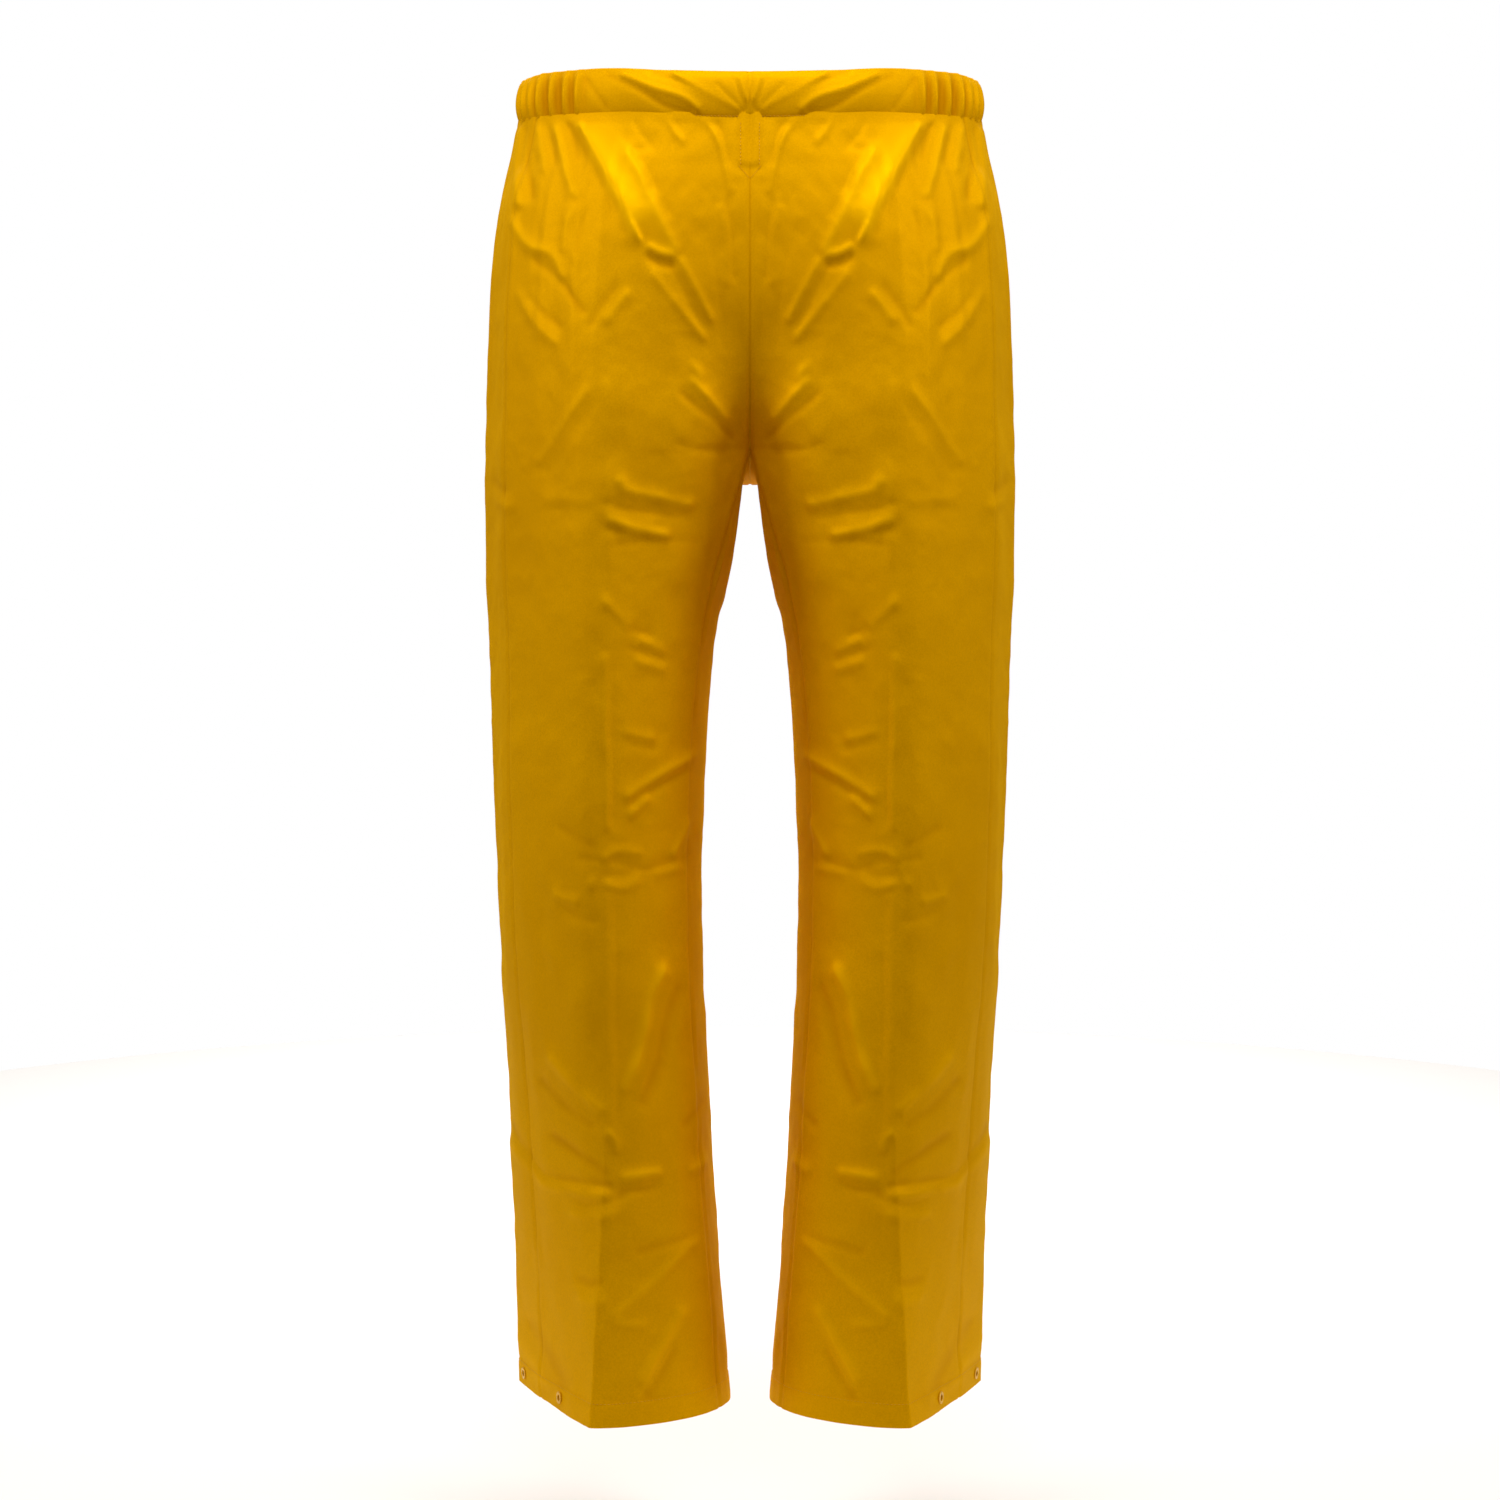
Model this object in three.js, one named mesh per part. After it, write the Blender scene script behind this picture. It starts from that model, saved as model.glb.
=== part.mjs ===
// Waterproof over-trousers in coated yellow fabric, adult size L, worn over other clothes.
// They hang from the waist opening with their legs straight down.
// Millimetres. +Z is up, the front faces -Y and the wearer's left is +X.
// The origin is the middle of the waist opening, level with the top of the waistband's front.
import * as THREE from "three";

// ---- Driving dimensions -------------------------------------------------------------------

const shellThickness = 1.0; // coated fabric with its backing, drawn as a plain skin
const seamGap = 0.4; // clearance between two neighbouring pieces
const crotchGap = 1.4; // wider where panels meet at a sharp angle, down the back and the inseam
const layerGap = 0.3; // clearance between two layers that lie on each other
const turnUpGap = 1.0; // the turned-up hem stands a little off the leg above it
const bandHeight = 38; // waistband, from its folded top edge to its lower stitch line
const elasticWidth = 32;
const elasticThickness = 1.6;
const tapeWidth = 20; // seam tape inside every main seam
const tapeThickness = 0.5;
const hemHeight = 20; // turned-up hem
const studRingRadius = 4.9; // press stud, its outer ring
const studRingBore = 2.6;
const studHeightOnHem = 10; // from the hem edge up to a press stud's centre

// Depths down the front crease at which the pieces of the trousers end.
const waistSeamDepth = bandHeight;
const seatEndDepth = 170;
const hipFoldEndDepth = 420;
const thighEndDepth = 510;
const kneeFoldEndDepth = 750;
const hemDepth = 1088;

// ---- The body of the trousers: six rails from waist to hem, left half -----------------------

// Stations: waist top, waist seam, high hip, hip, seat fold, crotch, thigh, knee, calf, hem.
const kneeDepth = 630;
const stationDepths = [0, waistSeamDepth, 120, 220, 270, 320, 450, kneeDepth, 860, hemDepth];
const crotchStation = 5;
const crotchDepth = stationDepths[crotchStation];

// From the crotch down, the inseam closes the leg: it is the first rail and the last.
const inseam = [
  [0, -62, -300],
  [37, -64, -440],
  [51, -70, -625],
  [42, -68, -858],
  [25, -64, -1088],
];

const railPoints = [
  // centre front seam, then the inseam
  [[0, -104, 0], [0, -106, -38], [0, -114, -120], [0, -104, -215], [0, -87, -260], ...inseam],
  // front crease
  [
    [105, -96, 3], [108, -99, -36], [116, -119, -118], [118, -131, -220], [117, -134, -270],
    [116, -135, -320], [114, -133, -450], [115, -128, -630], [116, -122, -860], [128, -120, -1088],
  ],
  // outermost line of the leg
  [
    [192, 0, 22], [197, 0, -16], [214, 0, -94], [222, 2, -210], [223, 3, -265],
    [224, 4, -320], [221, 7, -450], [215, 10, -630], [207, 13, -860], [197.5, 17, -1088],
  ],
  // back crease
  [
    [100, 98, 34], [102, 103, -4], [116, 128, -100], [120, 145, -210], [121, 145, -262],
    [120, 142, -314], [117, 130, -450], [114, 106, -630], [111, 90, -860], [107, 80, -1088],
  ],
  // inner back: the seat, then the innermost line of the leg
  [
    [45, 108, 36], [46, 113, -2], [55, 140, -112], [54, 134, -236], [38, 88, -308],
    [20, 12, -364], [31, 2, -462], [40.5, -10, -630], [33, -28, -860], [18, -47, -1088],
  ],
  // centre back seam, which runs under the crotch, then the inseam
  [[0, 112, 36], [0, 117, -2], [0, 146, -116], [0, 124, -252], [0, 40, -316], ...inseam],
].map((rail) => rail.map((point) => new THREE.Vector3(...point)));

const frontCentreRail = 0;
const backCentreRail = railPoints.length - 1;
const innerBackRail = backCentreRail - 1;
const frontCreaseRail = 1;
// The side seam lies between the front crease (1) and the outermost line (2).
const sideSeamAt = 1.62;

// ---- Curves ---------------------------------------------------------------------------------

// Slope of a curve at one of its points: the mean of the two chords that meet there.
function slopeAt(points, knots, i) {
  const chord = (a) => points[a + 1].clone().sub(points[a]).divideScalar(knots[a + 1] - knots[a]);
  if (i === 0) return chord(0);
  if (i === points.length - 1) return chord(i - 1);
  const before = knots[i] - knots[i - 1];
  const after = knots[i + 1] - knots[i];
  const slope = chord(i - 1).multiplyScalar(after);
  return slope.addScaledVector(chord(i), before).divideScalar(before + after);
}

// Cubic through the points, with the slopes that it arrives and leaves with at each of them.
function curveAt(points, knots, at, arriving, leaving = arriving) {
  let i = 0;
  while (i < points.length - 2 && at > knots[i + 1]) i += 1;
  const span = knots[i + 1] - knots[i];
  const u = (at - knots[i]) / span;
  const point = points[i].clone().multiplyScalar(2 * u ** 3 - 3 * u ** 2 + 1);
  point.addScaledVector(leaving[i], span * (u ** 3 - 2 * u ** 2 + u));
  point.addScaledVector(points[i + 1], 3 * u ** 2 - 2 * u ** 3);
  return point.addScaledVector(arriving[i + 1], span * (u ** 3 - u ** 2));
}

function smoothCurveAt(points, knots, at) {
  return curveAt(points, knots, at, points.map((_, i) => slopeAt(points, knots, i)));
}

function smoothStep(low, high, value) {
  const u = THREE.MathUtils.clamp((value - low) / (high - low), 0, 1);
  return u * u * (3 - 2 * u);
}

// A rail's point at a depth. The two centre seams turn a corner at the crotch.
function railAt(rail, depth) {
  const points = railPoints[rail];
  if (rail !== frontCentreRail && rail !== backCentreRail) {
    return smoothCurveAt(points, stationDepths, depth);
  }
  if (depth <= crotchDepth) {
    const count = crotchStation + 1;
    return smoothCurveAt(points.slice(0, count), stationDepths.slice(0, count), depth);
  }
  return smoothCurveAt(points.slice(crotchStation), stationDepths.slice(crotchStation), depth);
}

// Which way the section leaves the front centre seam or the inseam. High up it crosses the
// middle plane squarely, at the crotch it turns forwards, and down the leg it is a round tube.
function leavingSlope(depth, round) {
  if (depth <= crotchDepth) {
    const turn = 0.6 * smoothStep(crotchDepth - 130, crotchDepth, depth);
    return new THREE.Vector3(1 - turn, -turn, 0).normalize();
  }
  const start = new THREE.Vector3(0.4, -0.6, 0).normalize();
  return start.lerp(round, smoothStep(crotchDepth, crotchDepth + 110, depth)).normalize();
}

// Which way it arrives at the centre back seam or the inseam. Under the crotch the two legs'
// inner walls rise straight to the seam.
function arrivingSlope(depth, chord, round) {
  const across = new THREE.Vector3(-1, 0, 0);
  const straight = chord.clone().normalize();
  if (depth <= crotchDepth) {
    const rise = smoothStep(crotchDepth - 120, crotchDepth - 20, depth);
    return across.lerp(straight, rise).normalize();
  }
  return straight.lerp(round, smoothStep(crotchDepth, crotchDepth + 110, depth)).normalize();
}

// The section of the left half at a depth, as a function of the rail number from 0 to 5.
function sectionAt(depth) {
  const nodes = railPoints.map((_, rail) => railAt(rail, depth));
  const knots = [0];
  for (let i = 1; i < nodes.length; i += 1) {
    knots.push(knots[i - 1] + nodes[i].distanceTo(nodes[i - 1]));
  }
  const slopes = nodes.map((_, i) => slopeAt(nodes, knots, i));
  const toSeam = nodes[frontCentreRail].clone().sub(nodes[innerBackRail]);
  const fromSeam = nodes[frontCreaseRail].clone().sub(nodes[frontCentreRail]);
  const share = fromSeam.length() / toSeam.length();
  const round = toSeam.clone().multiplyScalar(share).addScaledVector(fromSeam, 1 / share).normalize();
  slopes[frontCentreRail] = leavingSlope(depth, round);
  slopes[backCentreRail] = arrivingSlope(depth, slopes[backCentreRail], round);
  // towards the hem the leg is pressed flat between its front crease and its outer edge
  const flat = 0.85 * smoothStep(kneeDepth, hemDepth, depth);
  const toOuter = nodes[frontCreaseRail + 1].clone().sub(nodes[frontCreaseRail]).normalize();
  const leaving = slopes.map((slope) => slope.clone());
  leaving[frontCreaseRail].lerp(toOuter, flat);
  slopes[frontCreaseRail + 1].lerp(toOuter, flat);
  return (at) => {
    const rail = Math.min(Math.floor(at), nodes.length - 2);
    const knot = knots[rail] + (at - rail) * (knots[rail + 1] - knots[rail]);
    return curveAt(nodes, knots, knot, slopes, leaving);
  };
}

// A point of the surface and its outward normal, from the surface's slopes along and down.
function surfaceAt(depth, at) {
  const section = sectionAt(depth);
  const along = section(Math.min(at + 0.02, backCentreRail)).sub(section(Math.max(at - 0.02, 0)));
  const upper = sectionAt(Math.max(depth - 1, 0))(at);
  const down = sectionAt(Math.min(depth + 1, hemDepth))(at).sub(upper);
  return { point: section(at), normal: down.cross(along).normalize() };
}

function otherSide({ point, normal }) {
  const flip = (v) => new THREE.Vector3(-v.x, v.y, v.z);
  return { point: flip(point), normal: flip(normal) };
}

// Rail numbers at the lengths, along a stretch of the section, that lengthsOf(total) names.
function placesAlong(depth, from, to, lengthsOf) {
  const section = sectionAt(depth);
  const samples = 120;
  const places = [from];
  const lengths = [0];
  for (let i = 1; i <= samples; i += 1) {
    places.push(from + ((to - from) * i) / samples);
    lengths.push(lengths[i - 1] + section(places[i]).distanceTo(section(places[i - 1])));
  }
  return lengthsOf(lengths[samples]).map((length) => {
    const i = Math.max(1, lengths.findIndex((value) => value >= length - 1e-9));
    const u = (length - lengths[i - 1]) / (lengths[i] - lengths[i - 1]);
    return places[i - 1] + (places[i] - places[i - 1]) * u;
  });
}

// Columns of a panel: its two trimmed edges, the edges of the seam tapes, and even ones between.
const panelLengths = (evenColumns, endGap) => (total) => {
  const half = tapeWidth / 2;
  const between = Array.from({ length: evenColumns }, (_, k) => (k + 1) / (evenColumns + 1));
  const inner = between.map((u) => half + (total - tapeWidth) * u);
  return [seamGap / 2, half, ...inner, total - half, total - endGap];
};

// ---- Solids ---------------------------------------------------------------------------------

function indexedGeometry(points, indices) {
  const positions = points.flatMap((point) => [point.x, point.y, point.z]);
  const geometry = new THREE.BufferGeometry();
  geometry.setAttribute("position", new THREE.Float32BufferAttribute(positions, 3));
  geometry.setIndex(indices);
  geometry.computeVertexNormals();
  return geometry;
}

// Sweeps closed sections of equal length into a solid; a ring has no end faces. The corners from
// outerCount on lie on a skin's inner side, which splits its quads along the outer side's
// diagonals, so that the two sides of a twisted skin can't cross.
function sweptSolid(sections, caps, outerCount = sections[0].length) {
  const count = sections[0].length;
  const indices = [];
  const steps = caps ? sections.length - 1 : sections.length;
  for (let s = 0; s < steps; s += 1) {
    const a = s * count;
    const b = ((s + 1) % sections.length) * count;
    for (let i = 0; i < count; i += 1) {
      const j = (i + 1) % count;
      if (i < outerCount) {
        indices.push(a + i, b + i, b + j, a + i, b + j, a + j);
      } else {
        indices.push(a + i, b + i, a + j, b + i, b + j, a + j);
      }
    }
  }
  const last = (sections.length - 1) * count;
  for (const [a, b, c] of caps ?? []) {
    indices.push(a, b, c, last + a, last + c, last + b);
  }
  return indexedGeometry(sections.flat(), indices);
}

// A skin: rows of surface points, at some depth inside the trousers' surface, with a thickness.
// Each row becomes one closed section, outer side then inner side.
function skin(columnsAt, top, bottom, rows, inside, thickness) {
  const sections = [];
  for (let r = 0; r < rows; r += 1) {
    const columns = columnsAt(top + ((bottom - top) * r) / (rows - 1));
    const layer = (depth) => columns.map((c) => c.point.clone().addScaledVector(c.normal, -depth));
    sections.push([...layer(inside), ...layer(inside + thickness).reverse()]);
  }
  const count = sections[0].length;
  const caps = [];
  for (let c = 0; c < count / 2 - 1; c += 1) {
    const back = count - 1 - c;
    caps.push([c, c + 1, back - 1], [c, back - 1, back]);
  }
  return sweptSolid(sections, caps, count / 2);
}

// The same geometry for the right side, with its faces turned back outwards.
function mirrored(geometry) {
  const copy = geometry.clone().applyMatrix4(new THREE.Matrix4().makeScale(-1, 1, 1));
  const index = copy.getIndex();
  for (let i = 0; i < index.count; i += 3) {
    const second = index.getX(i + 1);
    index.setX(i + 1, index.getX(i + 2));
    index.setX(i + 2, second);
  }
  copy.computeVertexNormals();
  return copy;
}

// ---- Fabric panels --------------------------------------------------------------------------

const frontStretch = [0, sideSeamAt];
const backStretch = [sideSeamAt, backCentreRail];

function panelColumns(stretch) {
  const isFront = stretch === frontStretch;
  const lengths = panelLengths(isFront ? 5 : 9, isFront ? seamGap / 2 : crotchGap);
  return (depth) => placesAlong(depth, ...stretch, lengths).map((at) => surfaceAt(depth, at));
}

function panel(stretch, top, bottom, rows) {
  const ends = [top + seamGap / 2, bottom - seamGap / 2];
  return skin(panelColumns(stretch), ...ends, rows, 0, shellThickness);
}

function hemTurnUp(stretch) {
  const ends = [hemDepth - hemHeight, hemDepth - seamGap / 2];
  return skin(panelColumns(stretch), ...ends, 2, shellThickness + turnUpGap, shellThickness);
}

// ---- Seam tapes: three columns wide, the middle one on the seam -------------------------------

const nearStart = () => [tapeWidth / 2];
const nearEnd = (total) => [total - tapeWidth / 2];

const tapeColumns = {
  frontRise(depth) {
    const [edge] = placesAlong(depth, ...frontStretch, nearStart);
    const side = surfaceAt(depth, edge);
    return [otherSide(side), onMiddlePlane(depth, frontCentreRail), side];
  },
  backRise(depth) {
    const [edge] = placesAlong(depth, ...backStretch, nearEnd);
    const side = surfaceAt(depth, edge);
    return [side, onMiddlePlane(depth, backCentreRail), otherSide(side)];
  },
  outseam(depth) {
    const [before] = placesAlong(depth, ...frontStretch, nearEnd);
    const [after] = placesAlong(depth, ...backStretch, nearStart);
    return [before, sideSeamAt, after].map((at) => surfaceAt(depth, at));
  },
  inseam(depth) {
    const [before] = placesAlong(depth, ...backStretch, nearEnd);
    const [after] = placesAlong(depth, ...frontStretch, nearStart);
    return [before, 0, after].map((at) => surfaceAt(depth, at));
  },
};

function onMiddlePlane(depth, rail) {
  const { point, normal } = surfaceAt(depth, rail);
  return { point, normal: normal.setX(0).normalize() };
}

function tape(kind, top, bottom, rows) {
  const ends = [top + seamGap / 2, bottom - seamGap / 2];
  return skin(tapeColumns[kind], ...ends, rows, shellThickness + layerGap, tapeThickness);
}

// ---- Waistband: fabric folded over the elastic, a tunnel open along its lower edge ------------

const tunnelWidth = elasticThickness + 2 * layerGap;
const casingDepth = 2 * shellThickness + tunnelWidth;
const foldRadius = 1.2;

// Profiles as [inwards from the outer wall, up from the band's top edge].
const casingProfile = [
  [0, -foldRadius],
  [foldRadius, 0],
  [casingDepth - foldRadius, 0],
  [casingDepth, -foldRadius],
  [casingDepth, -bandHeight],
  [shellThickness + tunnelWidth, -bandHeight],
  [shellThickness + tunnelWidth, -shellThickness],
  [shellThickness, -shellThickness],
  [shellThickness, -bandHeight],
  [0, -bandHeight],
];
const elasticTop = -2;
const elasticOuter = shellThickness + layerGap;
const elasticProfile = [
  [elasticOuter, elasticTop],
  [elasticOuter + elasticThickness, elasticTop],
  [elasticOuter + elasticThickness, elasticTop - elasticWidth],
  [elasticOuter, elasticTop - elasticWidth],
];

// The outer wall stands upright, so each stretch of it between two columns is flat.
function bandSection(at, profile) {
  const { point, normal } = surfaceAt(bandHeight / 2, at);
  const outwards = normal.setZ(0).normalize();
  const top = sectionAt(0)(at).z;
  return profile.map(([inwards, up]) =>
    point.clone().addScaledVector(outwards, -inwards).setZ(top + up),
  );
}

const bandLengths = panelLengths(4, seamGap / 2);
const bandPlaces = (stretch) => placesAlong(bandHeight / 2, ...stretch, bandLengths);

function casing(stretch) {
  const sections = bandPlaces(stretch).map((at) => bandSection(at, casingProfile));
  const outline = casingProfile.map(([x, y]) => new THREE.Vector2(x, y));
  const caps = THREE.ShapeUtils.triangulateShape(outline, []);
  const first = caps[0].map((i) => outline[i]);
  const sameWay = THREE.ShapeUtils.isClockWise(first) === THREE.ShapeUtils.isClockWise(outline);
  return sweptSolid(sections, sameWay ? caps : caps.map(([a, b, c]) => [a, c, b]));
}

function elasticLoop() {
  const places = [...bandPlaces(frontStretch), ...bandPlaces(backStretch).slice(1)];
  const left = places.map((at) => bandSection(at, elasticProfile));
  const flip = (section) => section.map((p) => new THREE.Vector3(-p.x, p.y, p.z));
  return sweptSolid([...left, ...left.map(flip).reverse()], null);
}

// A blank label on the back lining edge, hanging free just inside the seat.
const labelWidth = 30;
const labelLength = 42;
const labelFromCentre = 16;
const labelInside = 3.2;

function careLabel() {
  const lengths = (total) =>
    [labelFromCentre + labelWidth, labelFromCentre].map((length) => total - length);
  const columns = (depth) =>
    placesAlong(depth, ...backStretch, lengths).map((at) => surfaceAt(depth, at));
  const top = waistSeamDepth + 2;
  return skin(columns, top, top + labelLength, 3, labelInside, tapeThickness);
}

// ---- Press studs at the ankle ----------------------------------------------------------------

const studFromSideSeam = 40;
const studClearance = 0.8; // keeps the flat discs clear of the curved hem
const ringProfile = [
  [studRingBore, 0],
  [studRingRadius, 0],
  [studRingRadius, 0.5],
  [studRingRadius - 0.5, 1.0],
  [studRingBore + 0.4, 1.0],
  [studRingBore, 0.6],
  [studRingBore, 0],
];
const socketProfile = [
  [1.9, 0],
  [4.6, 0],
  [4.6, 1.6],
  [4.0, 2.2],
  [1.9, 2.2],
  [1.9, 0],
];
const studProfile = [
  [0, 0],
  [4.6, 0],
  [4.6, 0.8],
  [1.7, 1.0],
  [1.6, 2.2],
  [1.8, 2.7],
  [1.3, 3.0],
  [0, 3.0],
];

function turned(profile) {
  const points = profile.map(([x, y]) => new THREE.Vector2(x, y));
  return new THREE.LatheGeometry(points, 20);
}

// Sets a turned piece on the middle of a flat stretch of the hem, facing out or in.
function onHem(profile, stretch, outside) {
  const columns = panelColumns(stretch)(hemDepth - studHeightOnHem);
  const seam = sectionAt(hemDepth - studHeightOnHem)(sideSeamAt);
  const middles = columns.slice(1).map((column, i) => ({
    point: column.point.clone().add(columns[i].point).multiplyScalar(0.5),
    along: column.point.clone().sub(columns[i].point),
  }));
  const miss = ({ point }) => Math.abs(point.distanceTo(seam) - studFromSideSeam);
  const { point, along } = middles.reduce((best, next) => (miss(next) < miss(best) ? next : best));
  const outwards = new THREE.Vector3(along.y, -along.x, 0).normalize();
  const layers = 2 * shellThickness + turnUpGap;
  const lift = outside ? studClearance : -layers - studClearance;
  const direction = outside ? outwards : outwards.clone().negate();
  const turn = new THREE.Quaternion().setFromUnitVectors(new THREE.Vector3(0, 1, 0), direction);
  const place = new THREE.Matrix4().makeRotationFromQuaternion(turn);
  return turned(profile).applyMatrix4(place.setPosition(point.addScaledVector(outwards, lift)));
}

// ---- Materials and assembly --------------------------------------------------------------------

const fabric = { color: 0xdea501, roughness: 0.45, metalness: 0 };
const lining = { color: 0xd9c88a, roughness: 0.7, metalness: 0 };
const taping = { color: 0xcfc9b4, roughness: 0.4, metalness: 0 };
const webbing = { color: 0xe9e6dc, roughness: 0.9, metalness: 0 };
const stud = { color: 0xe0ab10, roughness: 0.35, metalness: 0 };

const trousers = new THREE.Group();

function add(name, geometry, finish) {
  const mesh = new THREE.Mesh(geometry, new THREE.MeshStandardMaterial(finish));
  mesh.name = name;
  trousers.add(mesh);
}

function addPair(name, geometry, finish) {
  add(`left_${name}`, geometry, finish);
  add(`right_${name}`, mirrored(geometry), finish);
}

const sections = [
  ["seat_panel", waistSeamDepth, seatEndDepth, 6],
  ["hip_fold", seatEndDepth, hipFoldEndDepth, 11],
  ["thigh_panel", hipFoldEndDepth, thighEndDepth, 4],
  ["knee_fold", thighEndDepth, kneeFoldEndDepth, 5],
  ["shin_panel", kneeFoldEndDepth, hemDepth, 7],
];
for (const [name, top, bottom, rows] of sections) {
  addPair(`front_${name}`, panel(frontStretch, top, bottom, rows), fabric);
  addPair(`back_${name}`, panel(backStretch, top, bottom, rows), fabric);
}

add("front_rise_tape", tape("frontRise", waistSeamDepth, seatEndDepth, 6), taping);
add("back_rise_tape", tape("backRise", waistSeamDepth, seatEndDepth, 6), taping);
for (const kind of ["outseam", "inseam"]) {
  addPair(`thigh_${kind}_tape`, tape(kind, hipFoldEndDepth, thighEndDepth, 4), taping);
  const tapeEnd = hemDepth - hemHeight - seamGap;
  addPair(`shin_${kind}_tape`, tape(kind, kneeFoldEndDepth, tapeEnd, 7), taping);
}

addPair("front_waistband", casing(frontStretch), fabric);
addPair("back_waistband", casing(backStretch), fabric);
add("waist_elastic", elasticLoop(), webbing);
add("care_label", careLabel(), webbing);

addPair("front_hem_turn_up", hemTurnUp(frontStretch), lining);
addPair("back_hem_turn_up", hemTurnUp(backStretch), lining);
addPair("socket_ring", onHem(ringProfile, frontStretch, true), stud);
addPair("stud_socket", onHem(socketProfile, frontStretch, false), stud);
addPair("stud_ring", onHem(ringProfile, backStretch, true), stud);
addPair("stud_post", onHem(studProfile, backStretch, false), stud);

export default trousers;
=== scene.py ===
"""Waterproof over-trousers in coated yellow fabric, hanging from the waist.

Metres, +Z up, the front faces -Y and the wearer's left is +X. The origin is the middle of the
waist opening. Folds are placed in millimetres on the front or the back view, and the left half
is worked out first: the right half mirrors it.
"""

import math
from functools import lru_cache

import bpy
import numpy as np
from mathutils import Matrix, Vector


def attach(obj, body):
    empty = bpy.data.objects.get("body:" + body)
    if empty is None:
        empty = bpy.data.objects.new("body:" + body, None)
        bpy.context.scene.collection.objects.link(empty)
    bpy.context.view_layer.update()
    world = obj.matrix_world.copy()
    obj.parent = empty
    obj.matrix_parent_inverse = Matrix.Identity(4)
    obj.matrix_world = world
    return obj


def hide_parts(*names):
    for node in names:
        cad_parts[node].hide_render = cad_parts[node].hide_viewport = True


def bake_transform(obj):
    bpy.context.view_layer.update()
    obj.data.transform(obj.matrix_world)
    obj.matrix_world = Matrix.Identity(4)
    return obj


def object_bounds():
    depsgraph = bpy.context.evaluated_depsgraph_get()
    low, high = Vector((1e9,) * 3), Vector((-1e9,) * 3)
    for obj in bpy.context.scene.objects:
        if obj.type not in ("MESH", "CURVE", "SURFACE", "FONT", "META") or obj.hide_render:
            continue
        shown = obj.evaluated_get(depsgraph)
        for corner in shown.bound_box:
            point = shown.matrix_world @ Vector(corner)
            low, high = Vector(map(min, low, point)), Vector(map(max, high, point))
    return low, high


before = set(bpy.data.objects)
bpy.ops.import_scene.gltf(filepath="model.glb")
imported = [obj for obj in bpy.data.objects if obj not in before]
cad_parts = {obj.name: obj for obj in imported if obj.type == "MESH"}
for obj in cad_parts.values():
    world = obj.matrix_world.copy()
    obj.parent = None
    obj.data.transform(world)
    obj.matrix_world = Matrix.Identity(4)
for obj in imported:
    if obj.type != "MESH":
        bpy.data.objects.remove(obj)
CAD_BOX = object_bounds()

bl_info = {
    "name": "Waterproof over-trousers",
    "version": (1, 0, 0),
    "blender": (4, 5, 0),
    "location": "3D View > Sidebar > Over-trousers",
    "description": "Builds coated over-trousers around their packed frame",
    "category": "Object",
}

MM = 0.001
SIDES = ("left", "right")
FACES = ("front", "back")
MIRROR = np.array([-1, 1, 1])  # takes a point or a direction to the other half

# ---- The cut: six rails from waist to hem, left half, in millimetres --------------------------

KNEE_DEPTH = 630
CROTCH_DEPTH = 320
HEM_DEPTH = 1088
BAND_HEIGHT = 38
HEM_HEIGHT = 20
SPLIT_DEPTH = 510  # where the leg is divided between its two joints
STATION_DEPTHS = np.array([0, BAND_HEIGHT, 120, 220, 270, 320, 450, KNEE_DEPTH, 860, HEM_DEPTH], float)
CROTCH_STATION = 5

INSEAM = [(0, -62, -300), (37, -64, -440), (51, -70, -625), (42, -68, -858), (25, -64, -1088)]
FRONT_CENTRE = [(0, -104, 0), (0, -106, -38), (0, -114, -120), (0, -104, -215), (0, -87, -260)]
FRONT_CREASE = [
    (105, -96, 3), (108, -99, -36), (116, -119, -118), (118, -131, -220), (117, -134, -270),
    (116, -135, -320), (114, -133, -450), (115, -128, -630), (116, -122, -860), (128, -120, -1088),
]
OUTERMOST = [
    (192, 0, 22), (197, 0, -16), (214, 0, -94), (222, 2, -210), (223, 3, -265),
    (224, 4, -320), (221, 7, -450), (215, 10, -630), (207, 13, -860), (197.5, 17, -1088),
]
BACK_CREASE = [
    (100, 98, 34), (102, 103, -4), (116, 128, -100), (120, 145, -210), (121, 145, -262),
    (120, 142, -314), (117, 130, -450), (114, 106, -630), (111, 90, -860), (107, 80, -1088),
]
INNER_BACK = [
    (45, 108, 36), (46, 113, -2), (55, 140, -112), (54, 134, -236), (38, 88, -308),
    (20, 12, -364), (31, 2, -462), (40.5, -10, -630), (33, -28, -860), (18, -47, -1088),
]
BACK_CENTRE = [(0, 112, 36), (0, 117, -2), (0, 146, -116), (0, 124, -252), (0, 40, -316)]
RAIL_POINTS = (
    FRONT_CENTRE + INSEAM,
    FRONT_CREASE,
    OUTERMOST,
    BACK_CREASE,
    INNER_BACK,
    BACK_CENTRE + INSEAM,
)
RAILS = [np.array(rail, float) for rail in RAIL_POINTS]
SIDE_SEAM = 1.62  # rail number at which the front and back panels meet
LAST_RAIL = len(RAILS) - 1

# ---- Where the front is seen from, in millimetres -----------------------------------------------

EYE_DISTANCE = 1920
EYE_DEPTH = 547
TRUE_SIZE_PLANE = 120  # cloth this far in front of the middle is measured at its true size


def ease(first, last, value):
    """Rises smoothly from 0 at the first value to 1 at the last one."""
    share = np.clip((value - first) / (last - first), 0, 1)
    return share * share * (3 - 2 * share)


def unit(vectors):
    return vectors / np.maximum(np.linalg.norm(vectors, axis=-1, keepdims=True), 1e-12)


def lengths_along(points):
    """How far each point lies along the line through them all."""
    return np.r_[0, np.cumsum(np.linalg.norm(np.diff(points, axis=0), axis=1))]


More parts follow.
